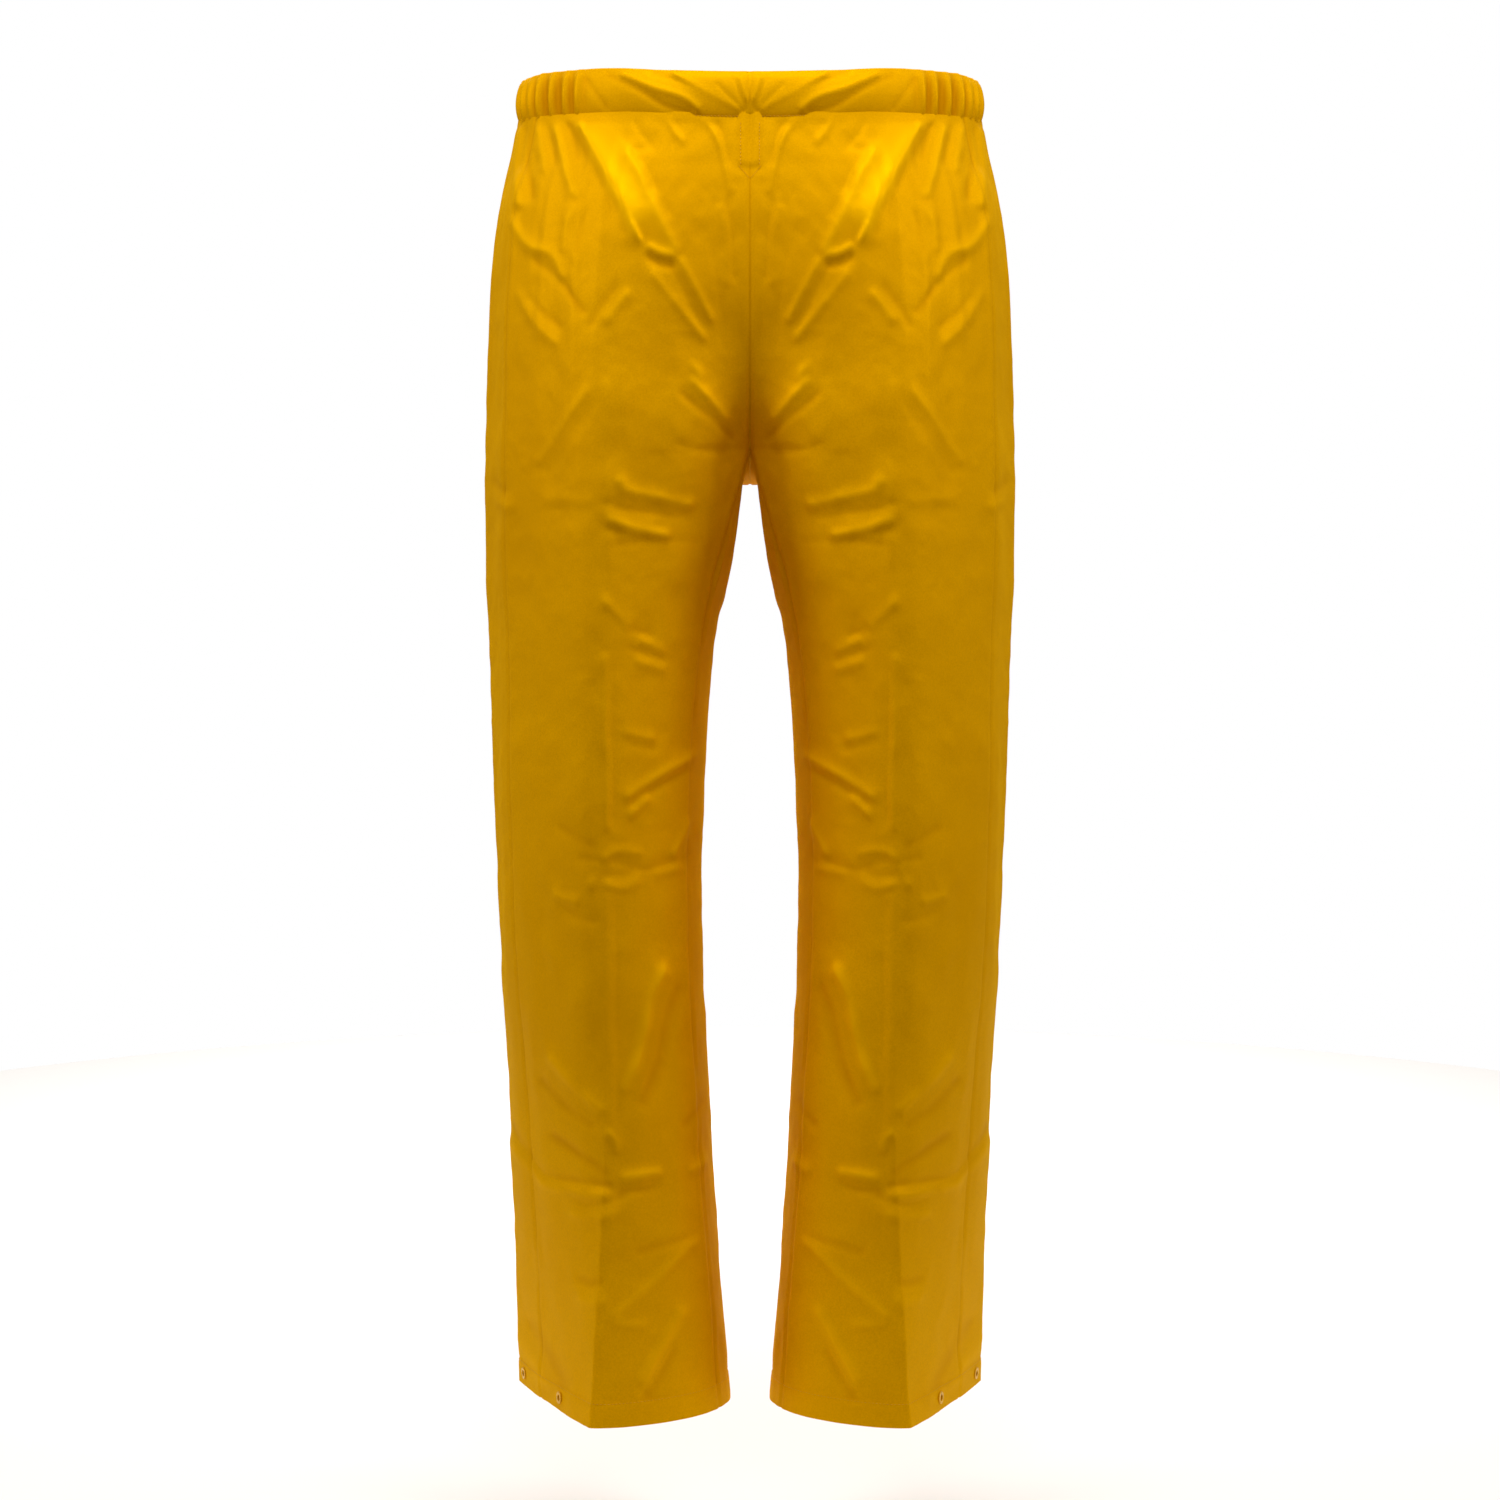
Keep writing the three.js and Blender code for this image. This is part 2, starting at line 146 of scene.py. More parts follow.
def points_along(places, along, points):
    """Points at the places along a line, whose own points lie at the given lengths."""
    return np.stack([np.interp(places, along, points[:, k]) for k in range(3)], axis=-1)


def slopes_at(points, knots):
    """Slopes of a curve at its points: the mean of the two chords that meet at each."""
    steps = np.diff(knots)[:, None]
    chords = np.diff(points, axis=0) / steps
    middle = (chords[:-1] * steps[1:] + chords[1:] * steps[:-1]) / (steps[:-1] + steps[1:])
    return np.vstack([chords[:1], middle, chords[-1:]])


def curve_at(points, knots, places, arriving, leaving):
    """Cubic through the points, at each of the places, with its slopes before and after them."""
    i = np.clip(np.searchsorted(knots, places, side="left") - 1, 0, len(points) - 2)
    span = (knots[i + 1] - knots[i])[:, None]
    u = (places[:, None] - knots[i][:, None]) / span
    start = points[i] * (2 * u**3 - 3 * u**2 + 1) + leaving[i] * span * (u**3 - 2 * u**2 + u)
    end = points[i + 1] * (3 * u**2 - 2 * u**3) + arriving[i + 1] * span * (u**3 - u**2)
    return start + end


def smooth_curve(points, knots, places):
    slopes = slopes_at(points, knots)
    return curve_at(points, knots, places, slopes, slopes)


def rail_points(depths):
    """Each rail's point at each depth. The two centre seams turn a corner at the crotch."""
    columns = []
    upper = slice(0, CROTCH_STATION + 1)
    lower = slice(CROTCH_STATION, None)
    for number, rail in enumerate(RAILS):
        if number in (0, LAST_RAIL):
            above = smooth_curve(rail[upper], STATION_DEPTHS[upper], depths)
            below = smooth_curve(rail[lower], STATION_DEPTHS[lower], depths)
            columns.append(np.where(depths[:, None] <= CROTCH_DEPTH, above, below))
        else:
            columns.append(smooth_curve(rail, STATION_DEPTHS, depths))
    return np.stack(columns, axis=1)


def end_slopes(depth, chord, rounded):
    """Which way a section leaves the front centre seam, and arrives at the back one."""
    across = np.array([-1.0, 0, 0])
    straight = unit(chord)
    if depth <= CROTCH_DEPTH:
        turn = 0.6 * ease(CROTCH_DEPTH - 130, CROTCH_DEPTH, depth)
        rise = ease(CROTCH_DEPTH - 120, CROTCH_DEPTH - 20, depth)
        return unit(np.array([1 - turn, -turn, 0])), unit(across * (1 - rise) + straight * rise)
    tube = ease(CROTCH_DEPTH, CROTCH_DEPTH + 110, depth)
    start = unit(np.array([0.4, -0.6, 0]))
    return unit(start * (1 - tube) + rounded * tube), unit(straight * (1 - tube) + rounded * tube)


def section(depth, nodes, places):
    """Points of one section of the left half, at rail numbers from 0 to 5."""
    knots = lengths_along(nodes)
    arriving = slopes_at(nodes, knots)
    to_seam = nodes[0] - nodes[4]
    from_seam = nodes[1] - nodes[0]
    share = np.linalg.norm(from_seam) / np.linalg.norm(to_seam)
    rounded = unit(to_seam * share + from_seam / share)
    arriving[0], arriving[-1] = end_slopes(depth, arriving[-1], rounded)
    flat = 0.85 * ease(KNEE_DEPTH, HEM_DEPTH, depth)
    outwards = unit(nodes[2] - nodes[1])
    leaving = arriving.copy()
    leaving[1] = leaving[1] * (1 - flat) + outwards * flat
    arriving[2] = arriving[2] * (1 - flat) + outwards * flat
    return curve_at(nodes, knots, np.interp(places, range(6), knots), arriving, leaving)


# ---- Grids over the left half -----------------------------------------------------------------


class Grid:
    """Rows of points from the front centre, round the side, to the back centre, in millimetres."""

    def __init__(self, depths, front_count, back_count):
        self.depths = np.asarray(depths, float)
        self.side = front_count - 1
        nodes = rail_points(self.depths)
        dense = np.linspace(0, LAST_RAIL, 1001)
        seam = np.searchsorted(dense, SIDE_SEAM)
        dense[seam] = SIDE_SEAM
        rows = []
        lengths = []
        for depth, row_nodes in zip(self.depths, nodes):
            line = section(depth, row_nodes, dense)
            along = lengths_along(line)
            front = np.linspace(0, along[seam], front_count)
            back = np.linspace(along[seam], along[-1], back_count)[1:]
            wanted = np.r_[front, back]
            rows.append(points_along(wanted, along, line))
            lengths.append(wanted - along[seam])
        self.points = np.array(rows)
        self.across = np.array(lengths)
        self.normals = self.find_normals(self.points)

    def beside(self, points):
        """The neighbours before and after each point: across the middle, or round the leg."""
        above = (self.depths <= CROTCH_DEPTH)[:, None]
        first = np.where(above, points[:, 1] * MIRROR, points[:, -2])
        last = np.where(above, points[:, -2] * MIRROR, points[:, 1])
        before = np.concatenate([first[:, None], points[:, :-1]], axis=1)
        after = np.concatenate([points[:, 1:], last[:, None]], axis=1)
        return before, after

    def find_normals(self, points):
        before, after = self.beside(points)
        down = np.gradient(points, axis=0)
        normals = unit(np.cross(down, after - before))
        closed = self.depths > CROTCH_DEPTH
        seam = unit(normals[closed, 0] + normals[closed, -1])
        normals[closed, 0] = seam
        normals[closed, -1] = seam
        return normals

    def row(self, depth):
        return int(np.argmin(np.abs(self.depths - depth)))

    def columns(self, face):
        """The columns of the front or the back panel, with the side seam in both."""
        return slice(0, self.side + 1) if face == "front" else slice(self.side, None)

    def flat_places(self):
        """Places on the flat cloth: across from the side seam, and down from the waist."""
        down = np.broadcast_to(self.depths[:, None], self.across.shape)
        return np.stack([self.across, down], axis=-1)


def seen_from_front(points):
    """Where points appear on the front view: millimetres from the middle, and down."""
    scale = (EYE_DISTANCE - TRUE_SIZE_PLANE) / (EYE_DISTANCE + points[..., 1])
    down = EYE_DEPTH - (points[..., 2] + EYE_DEPTH) * scale
    return np.stack([points[..., 0] * scale, down], axis=-1)


def seen_from_back(points):
    return np.stack([points[..., 0], -points[..., 2]], axis=-1)


# ---- Settings that the builders read ------------------------------------------------------------


def sizes():
    return bpy.context.scene.trousers_sizes


def palette():
    return bpy.context.scene.trousers_colours


def cloth_layer():
    """The cloth's thickness, in millimetres."""
    return sizes().cloth_thickness / MM


# ---- Folds ------------------------------------------------------------------------------------
# Each fold is (height, width, path): it stands proud of the cloth, or sinks where its height is
# below zero. The path's points are (from the middle, down). A width may be a pair: on a path that
# runs down, the first is the outer flank's and the second the inner one's.

SINK = 0.6  # sunk folds are shallower than the proud ones beside them
CREST = 0.9  # how round the folds are along their tops, in millimetres
CREASE_WIDTH = 0.64  # flanks of the folds, as a share of their listed widths
FOLD_REACH = 3.4  # how far out a fold is felt, in widths
FLANK_POWER = 1.25  # how steeply the flanks fall away

WAIST_FOLDS = [
    (2.0, 5, [(183, 40), (184, 70), (183, 117)]),
    (-1.6, 4, [(176, 40), (176, 75), (175, 111)]),
    (1.8, 5, [(168, 40), (167, 60), (165, 88)]),
    (-1.6, 4, [(161, 40), (160, 60), (156, 84)]),
    (2.2, 6, [(155, 42), (145, 88), (137, 108)]),
    (-1.6, 4, [(148, 40), (142, 60), (136, 80)]),
    (1.2, 3, [(40, 42), (34, 48), (15, 105)]),
    (-1.2, 3, [(28, 40), (22, 60), (16, 84)]),
    (1.0, 3, [(66, 42), (60, 54), (50, 64)]),
    (-1.0, 3, [(92, 44), (86, 56), (76, 66)]),
]
PLEAT_FOLDS = [
    (5.4, (10, 28), [(139, 34), (118, 77), (84, 144)]),
    (-1.2, (10, 6), [(150, 39), (129, 77), (94, 142)]),
    (2.0, (9, 6), [(104, 62), (90, 83), (74, 118), (57, 153)]),
    (-1.0, 5, [(92, 70), (78, 92), (62, 124)]),
    (-1.0, 3, [(103, 66), (90, 68), (76, 65)]),
    (2.0, 4, [(84, 143), (72, 150), (57, 153)]),
    (-2.4, 4, [(84, 151), (72, 159), (58, 161)]),
    (1.4, 4, [(57, 153), (44, 178), (29, 207)]),
    (-1.2, 4, [(64, 158), (50, 186), (36, 214)]),
    (1.2, 4, [(80, 164), (58, 192), (34, 222)]),
]
HIP_FOLDS = [
    (1.8, 6, [(190, 122), (174, 145), (160, 151), (150, 176)]),
    (-1.8, 5, [(174, 153), (152, 174), (130, 201)]),
    (1.2, 5, [(138, 109), (146, 128), (150, 153)]),
    (-1.0, 5, [(128, 112), (136, 134), (140, 156)]),
    (1.4, 6, [(94, 177), (106, 192), (117, 209)]),
    (-1.2, 6, [(104, 172), (118, 190), (130, 214)]),
    (1.2, 5, [(186, 178), (172, 206), (152, 224)]),
    (-1.2, 5, [(178, 182), (164, 200), (148, 212)]),
]
CENTRE_FOLDS = [
    (-1.3, 2.5, [(19, 108), (14, 133), (12, 174)]),
    (0.9, 3, [(24, 112), (19, 138), (18, 178)]),
    (-0.8, 3, [(30, 150), (24, 190), (22, 228)]),
    (-1.6, 5, [(57, 257), (42, 272), (26, 285), (9, 301)]),
    (1.4, 5, [(50, 248), (34, 264), (16, 286)]),
    (1.6, 8, [(50, 235), (35, 253)]),
    (-1.0, 4, [(60, 300), (40, 306), (14, 310)]),
]
THIGH_FOLDS = [
    (1.0, 5, [(126, 255), (148, 286), (173, 320)]),
    (-0.8, 5, [(118, 262), (140, 296), (166, 328)]),
    (1.8, 9, [(110, 333), (98, 333)]),
    (1.8, 6, [(106, 338), (74, 344), (42, 351)]),
    (-1.5, 5, [(120, 350), (84, 356), (50, 360)]),
    (2.0, 6, [(118, 360), (97, 368), (60, 376)]),
    (-1.5, 5, [(124, 362), (112, 371), (98, 375)]),
    (-1.2, 4, [(110, 383), (78, 379), (37, 381)]),
    (0.5, 5, [(170, 346), (148, 346), (126, 349)]),
    (-0.5, 5, [(168, 355), (146, 354), (124, 356)]),
    (-1.6, 6, [(210, 330), (200, 336), (188, 344)]),
    (1.6, 6, [(206, 344), (196, 350), (184, 356)]),
    (1.7, 5, [(119, 424), (108, 437), (92, 453)]),
    (-1.5, 5, [(114, 432), (98, 448), (72, 458)]),
    (1.3, 4, [(88, 459), (78, 464), (66, 470)]),
    (-1.3, 4, [(100, 464), (82, 471), (64, 477)]),
    (1.2, 4, [(92, 477), (80, 480), (66, 484)]),
]
PRESSED_FOLDS = [
    (1.2, 3, [(115, 470), (115, 545), (115, 612)]),
    (-0.9, 3, [(109, 480), (109, 545), (109, 606)]),
    (0.9, 4, [(113, 660), (113, 760), (112, 860)]),
    (-0.8, 4, [(106, 668), (106, 760), (106, 850)]),
    (0.8, 4, [(112, 900), (114, 980), (118, 1040)]),
    (0.8, 4, [(114, 400), (114, 340), (114, 250)]),
]
KNEE_FOLDS = [
    (1.2, 4, [(103, 532), (88, 536), (74, 538)]),
    (-1.0, 4, [(100, 540), (88, 544), (72, 546)]),
    (1.6, 5, [(102, 586), (74, 567), (42, 550)]),
    (-1.6, 5, [(96, 592), (76, 577), (48, 560)]),
    (1.5, 5, [(98, 602), (88, 592), (78, 582)]),
    (1.5, 5, [(62, 634), (56, 618), (50, 600)]),
    (-1.2, 5, [(54, 640), (48, 620), (44, 602)]),
    (1.5, 4, [(120, 637), (106, 628), (84, 629)]),
    (-1.2, 4, [(140, 633), (128, 635), (116, 637)]),
    (-1.6, 4, [(112, 635), (84, 641), (58, 635)]),
    (1.2, 6, [(132, 656), (120, 654)]),
    (-1.2, 4, [(120, 649), (106, 647), (92, 645)]),
    (1.2, 4, [(118, 654), (102, 657), (88, 649)]),
    (1.3, 5, [(160, 660), (148, 665), (134, 669)]),
    (-1.2, 8, [(158, 606), (140, 616), (120, 628)]),
    (1.2, 4, [(78, 646), (66, 643), (52, 640)]),
    (-1.0, 5, [(152, 670), (136, 680), (118, 684)]),
]
SHIN_FOLDS = [
    (2.6, 8, [(66, 714), (79, 741), (87, 784), (103, 824)]),
    (-1.9, 8, [(54, 728), (66, 760), (72, 796), (88, 836)]),
    (2.0, 6, [(162, 788), (142, 813), (115, 840)]),
    (-1.6, 6, [(170, 806), (148, 832), (122, 852)]),
    (1.8, 4, [(118, 852), (108, 860), (106, 872)]),
    (-2.4, 5, [(162, 851), (134, 873), (112, 890)]),
    (-2.3, 4, [(193, 842), (180, 866), (164, 883), (134, 892), (108, 897)]),
    (2.0, 6, [(196, 852), (178, 877), (160, 892), (134, 901), (112, 904)]),
    (2.6, 5, [(106, 890), (88, 886), (68, 883)]),
    (-2.0, 4, [(108, 900), (90, 898), (72, 894)]),
    (-1.6, 5, [(36, 822), (44, 838), (54, 850)]),
    (1.8, 5, [(50, 884), (40, 878), (30, 871)]),
    (-1.8, 4, [(152, 895), (124, 909), (98, 902)]),
    (1.5, 5, [(146, 914), (124, 920), (104, 914)]),
]
ANKLE_FOLDS = [
    (-1.9, 7, [(142, 968), (128, 973), (114, 970)]),
    (1.8, 7, [(144, 982), (128, 988), (112, 984)]),
    (-1.9, 5, [(94, 950), (70, 942), (40, 935)]),
    (2.2, 5, [(40, 936), (72, 966), (112, 1002)]),
    (1.9, 5, [(112, 1003), (98, 1006), (80, 1005)]),
    (2.6, 8, [(50, 988), (70, 1020), (90, 1055)]),
    (-2.2, 7, [(58, 1020), (74, 1046), (88, 1066)]),
    (-1.8, 8, [(180, 998), (162, 1030), (144, 1060)]),
    (1.6, 8, [(190, 1000), (176, 1030), (160, 1058)]),
]
BACK_FOLDS = [
    (2.0, 7, [(4, 292), (40, 262), (92, 236)]),
    (-1.8, 7, [(8, 304), (48, 276), (104, 256)]),
    (1.8, 7, [(16, 330), (62, 304), (122, 290)]),
    (-1.4, 8, [(30, 344), (76, 322), (132, 312)]),
    (1.6, 9, [(150, 190), (120, 232), (70, 250)]),
    (-1.4, 7, [(176, 240), (150, 262), (112, 276)]),
    (2.2, 8, [(34, 398), (78, 386), (128, 396)]),
    (-1.8, 7, [(38, 414), (84, 404), (134, 412)]),
    (1.8, 8, [(150, 470), (110, 488), (66, 480)]),
    (2.4, 7, [(48, 596), (90, 606), (148, 592)]),
    (-2.2, 6, [(54, 610), (94, 620), (150, 606)]),
    (2.6, 7, [(46, 642), (88, 634), (142, 646)]),
    (-2.2, 6, [(52, 656), (90, 650), (138, 660)]),
    (2.0, 8, [(60, 690), (104, 680), (160, 694)]),
    (1.6, 8, [(160, 760), (120, 806), (66, 836)]),
    (-1.4, 8, [(150, 790), (112, 832), (64, 856)]),
    (1.8, 8, [(40, 900), (84, 922), (140, 914)]),
    (-1.6, 7, [(46, 916), (88, 938), (140, 930)]),
    (1.8, 9, [(150, 960), (104, 1004), (60, 1030)]),
    (-1.4, 8, [(52, 1000), (84, 1024), (110, 1050)]),
    (0.8, 4, [(113, 480), (113, 700), (110, 860)]),
]
FRONT_FOLDS = (
    WAIST_FOLDS + HIP_FOLDS + CENTRE_FOLDS + THIGH_FOLDS
    + PRESSED_FOLDS + KNEE_FOLDS + SHIN_FOLDS + ANKLE_FOLDS
)
BAND_FOLDS = [
    (-1.6, 4, [(118, 6), (92, 18), (67, 33), (44, 40)]),
    (1.4, 4, [(106, 6), (78, 18), (50, 28), (38, 38)]),
    (-1.6, 4, [(82, 5), (50, 15), (26, 28), (4, 40)]),
    (1.4, 4, [(64, 5), (34, 23), (6, 38)]),
    (-0.8, 2, [(2, 38), (8, 24), (14, 8)]),
    (-0.8, 2, [(3, 39), (14, 28), (28, 14)]),
    (0.7, 2, [(2, 30), (6, 18), (8, 8)]),
    (-1.0, 4, [(134, 8), (124, 22), (112, 38)]),
]


def rounded_path(path):
    """More points on a path, through the given ones."""
    path = np.array(path, float)
    if len(path) > 2:
        knots = lengths_along(path)
        path = smooth_curve(path, knots, np.linspace(0, knots[-1], 6 * len(path)))
    return path


def fold_height(view, fold):
    """How far one fold lifts each point of a view. Its ends fade out over a width."""
    height, widths, path = fold
    widths = CREASE_WIDTH * np.array(widths if isinstance(widths, tuple) else (widths, widths))
    width = widths.min()
    line = rounded_path(path)
    reach = FOLD_REACH * widths.max()
    low = line.min(axis=0) - reach
    high = line.max(axis=0) + reach
    near = ((view >= low) & (view <= high)).all(axis=-1)
    lift = np.zeros(view.shape[:-1])
    places = view[near]
    if not len(places):
        return lift
    starts = line[:-1]
    steps = np.diff(line, axis=0)
    lengths = np.linalg.norm(steps, axis=1)
    travelled = np.r_[0, np.cumsum(lengths)]
    offset = places[:, None] - starts
    share = np.clip((offset * steps).sum(axis=2) / lengths**2, 0, 1)
    apart = np.linalg.norm(offset - share[..., None] * steps, axis=2)
    best = apart.argmin(axis=1)
    nearest = np.hypot(apart.min(axis=1), CREST) - CREST
    pick = np.arange(len(places))
    along = travelled[best] + share[pick, best] * lengths[best]
    step = steps[best]
    aside = offset[pick, best]
    outer = step[:, 0] * aside[:, 1] - step[:, 1] * aside[:, 0] < 0
    flank = np.where(outer, widths[0], widths[1])
    fade_length = np.minimum(2 * flank, 0.45 * travelled[-1])
    end_fade = ease(-0.4 * width, fade_length, np.minimum(along, travelled[-1] - along))
    lift[near] = height * end_fade * np.exp(-((nearest / flank) ** FLANK_POWER))
    return lift


def all_folds(view, folds, allowed):
    """The height of all the folds on a view, where they are allowed."""
    total = np.zeros(view.shape[:-1])
    for fold in folds:
        total += fold_height(view, fold) * (1 if fold[0] > 0 else SINK)
    return total * allowed


def gather_ridges(along, first, last, spacing, seed):
    """Ruffles side by side between two lengths, of uneven width and height, from -1 to 1."""
    chance = np.random.default_rng(seed)
    total = np.zeros_like(along)
    place = first
    while place < last:
        width = spacing * chance.uniform(0.28, 0.4)
        total += chance.uniform(0.6, 1) * np.exp(-(((along - place) / width) ** 2))
        place += spacing * chance.uniform(0.75, 1.3)
    return 2 * total - 1


# ---- The slack cloth: a simulation on a coarse grid ---------------------------------------------

COARSE_STEP = 8.0
COARSE_FRONT = 31
COARSE_BACK = 49
SIM_FRAMES = 22
SMOOTHING_ROUNDS = 34
MOST_MOVE = 3.0  # millimetres that a point of cloth may leave its place by
HELD_LOOSELY = 0.02
HELD_PARTLY = 0.3


def coarse_grid():
    rows = np.linspace(BAND_HEIGHT, HEM_DEPTH, int((HEM_DEPTH - BAND_HEIGHT) / COARSE_STEP) + 1)
    return Grid(rows, COARSE_FRONT, COARSE_BACK)


def hanging_mesh(grid):
    """One half of the trousers as a mesh: the leg is closed along its inseam."""
    rows, columns = grid.points.shape[:2]
    number = np.arange(rows * columns).reshape(rows, columns)
    closed = grid.depths > CROTCH_DEPTH
    number[closed, -1] = number[closed, 0]
    quads = np.stack([number[:-1, :-1], number[1:, :-1], number[1:, 1:], number[:-1, 1:]], axis=-1)
    mesh = bpy.data.meshes.new("hanging")
    mesh.from_pydata((grid.points.reshape(-1, 3) * MM).tolist(), [], quads.reshape(-1, 4).tolist())
    return mesh, number


def held_weights(grid):
    """How firmly each point keeps its place: the waist, the middle plane, the hem and the seams."""
    rows, columns = grid.points.shape[:2]
    held = np.full((rows, columns), HELD_LOOSELY)
    held = np.maximum(held, 1 - ease(0, 45, grid.depths - BAND_HEIGHT)[:, None])
    held = np.maximum(held, HELD_PARTLY * ease(-60, 0, grid.depths - HEM_DEPTH)[:, None])
    above = grid.depths <= CROTCH_DEPTH + 12
    for column in (0, -1):
        held[above, column] = 1
    held[:, grid.side] = np.maximum(held[:, grid.side], HELD_PARTLY)
    return held


def wrinkles_only(moved):
    """Takes the slow part out of the moves, so that the legs keep their shape."""
    slow = moved
    for _ in range(SMOOTHING_ROUNDS):
        padded = np.pad(slow, ((1, 1), (1, 1), (0, 0)), mode="edge")
        slow = (padded[:-2, 1:-1] + padded[2:, 1:-1] + padded[1:-1, :-2] + padded[1:-1, 2:]) / 4
    return moved - slow


def settle(grid):
    """Hangs the half in its own slack, and returns how far each point moved, in millimetres."""
    mesh, number = hanging_mesh(grid)
    piece = bpy.data.objects.new("hanging", mesh)
    scene = bpy.context.scene
    scene.collection.objects.link(piece)
    group = piece.vertex_groups.new(name="held")
    for index, weight in enumerate(held_weights(grid).ravel()):
        group.add([index], float(weight), "REPLACE")
    cloth = piece.modifiers.new("cloth", "CLOTH")
    cloth.settings.quality = 6
    cloth.settings.mass = 0.2
    cloth.settings.tension_stiffness = 30
    cloth.settings.compression_stiffness = 30
    cloth.settings.shear_stiffness = 10
    cloth.settings.bending_stiffness = 0.6
    cloth.settings.air_damping = 4
    cloth.settings.vertex_group_mass = group.name
    cloth.settings.pin_stiffness = 1
    cloth.settings.shrink_min = -sizes().slack
    cloth.collision_settings.use_collision = False
    cloth.point_cache.frame_start = 1
    cloth.point_cache.frame_end = SIM_FRAMES
    for step in range(1, SIM_FRAMES + 1):
        scene.frame_set(step)
    shape = piece.evaluated_get(bpy.context.evaluated_depsgraph_get())
    moved = np.zeros(len(mesh.vertices) * 3)
    shape.data.vertices.foreach_get("co", moved)
    moved = moved.reshape(-1, 3)[number] / MM - grid.points
    bpy.data.objects.remove(piece)
    bpy.data.meshes.remove(mesh)
    scene.frame_set(1)
    above_hem = 1 - ease(-200, -60, grid.depths - HEM_DEPTH)[:, None]
    off_middle = ease(12, 80, grid.points[..., 0])
    behind = 0.2 + 0.8 * ease(-0.3, 0.3, grid.normals[..., 1])
    moved = wrinkles_only(moved) * (above_hem * off_middle * behind)[..., None]
    length = np.linalg.norm(moved, axis=-1, keepdims=True)
    return moved * np.minimum(1, MOST_MOVE * np.tanh(length / MOST_MOVE) / np.maximum(length, 1e-9))


def refined(values, old, new):
    """Values on old places along the first axis, carried smoothly to new ones."""
    i = np.clip(np.searchsorted(old, new, side="right") - 1, 0, len(old) - 2)
    u = ((new - old[i]) / (old[i + 1] - old[i]))[:, None, None]
    slopes = np.gradient(values, axis=0)
    start = values[i] * (2 * u**3 - 3 * u**2 + 1) + slopes[i] * (u**3 - 2 * u**2 + u)
    return start + values[i + 1] * (3 * u**2 - 2 * u**3) + slopes[i + 1] * (u**3 - u**2)


def column_places(grid):
    """Columns as 0 at the front centre, 1 at the side seam and 2 at the back centre."""
    columns = grid.points.shape[1]
    front = np.linspace(0, 1, grid.side + 1)
    return np.r_[front, np.linspace(1, 2, columns - grid.side)[1:]]


def settled_moves(grid):
    """The moves of the settled cloth, carried from the coarse grid to a fine one."""
    coarse = coarse_grid()
    moves = refined(settle(coarse), coarse.depths, np.maximum(grid.depths, coarse.depths[0]))
    places = column_places(grid)
    return refined(moves.swapaxes(0, 1), column_places(coarse), places).swapaxes(0, 1)


# ---- The finished skin of the left half ---------------------------------------------------------

FINE_STEP = 2.1
FOLD_WANDER = 1.6  # millimetres by which the folds stray from their drawn paths
WANDER_SIZE = 38  # and the length of cloth over which they do
FOLD_VARIATION = 0.35  # share by which the folds vary in height
FACING_END = 78  # the stitched-down facing beside the centre front seam ends here
TUCK = 4  # the panels run up behind the waistband by this much
FRONT_COLUMNS = 120
BACK_COLUMNS = 132
GATHER_END = 330  # ruffles are laid out this far behind the side seam, past the centre back
SEAM_SHADE = 1.6  # how much darker a sunk seam is shaded than a fold as deep


def seam_line(distance):
    """A welded seam's section: a fine groove on a low, flat ridge of doubled cloth."""
    ridge = 0.3 * (1 - ease(6, 10, np.abs(distance)))
    return ridge - 0.9 * np.exp(-((distance / 1.7) ** 2))


@lru_cache
def skin():
    """The grid of the left half, its folded points and normals, and the folds' heights to shade by."""
    upper = np.arange(BAND_HEIGHT - TUCK, SPLIT_DEPTH - 0.5, FINE_STEP)
    lower = np.linspace(SPLIT_DEPTH, HEM_DEPTH, int((HEM_DEPTH - SPLIT_DEPTH) / FINE_STEP) + 1)
    grid = Grid(np.r_[upper, lower], FRONT_COLUMNS, BACK_COLUMNS)
    points = grid.points + settled_moves(grid)
    wander = FOLD_WANDER * np.stack([uneven(grid, WANDER_SIZE, seed) for seed in (21, 22)], axis=-1)
    front_view = seen_from_front(grid.points)
    back_view = seen_from_back(grid.points)
    front_share = ease(0.1, 0.35, -grid.normals[..., 1])
    back_share = ease(0.1, 0.4, grid.normals[..., 1])
    below_band = ease(0, 8, grid.depths - BAND_HEIGHT)[:, None]
    off_middle = ease(0, 7, np.abs(grid.points[..., 0]))
    above_crotch = (grid.depths <= CROTCH_DEPTH)[:, None]
    free = below_band * np.where(above_crotch, off_middle, 1)
    height = all_folds(front_view + wander, FRONT_FOLDS, front_share * free)
    height += all_folds(back_view + wander, BACK_FOLDS, back_share * free)
    height *= 1 + FOLD_VARIATION * uneven(grid, 16, 23)
    height += all_folds(front_view, PLEAT_FOLDS, front_share * free)
    folds = blurred(height) * sizes().fold_depth + waist_gathers(grid) * below_band
    height = folds + crinkles(grid) * free * sizes().fold_depth
    moved = points + grid.normals * height[..., None]
    keep_middle(grid, moved)
    seams = seam_depth(grid)
    carved = moved + grid.normals * seams[..., None]
    normals = grid.find_normals(carved)
    # the last value holds the folds and the sunk seams, from which the cloth's colour paints highlight
    # and shade
    return grid, carved, normals, folds + SEAM_SHADE * np.minimum(seams, 0)


def blurred(values):
    """Evens out each point with its neighbours, so that sharp folds don't look stepped."""
    for _ in range(2):
        padded = np.pad(values, ((1, 1), (0, 0)), mode="edge")
        values = ((padded[:-2] + padded[2:] + 2 * values) / 4).T
    return values


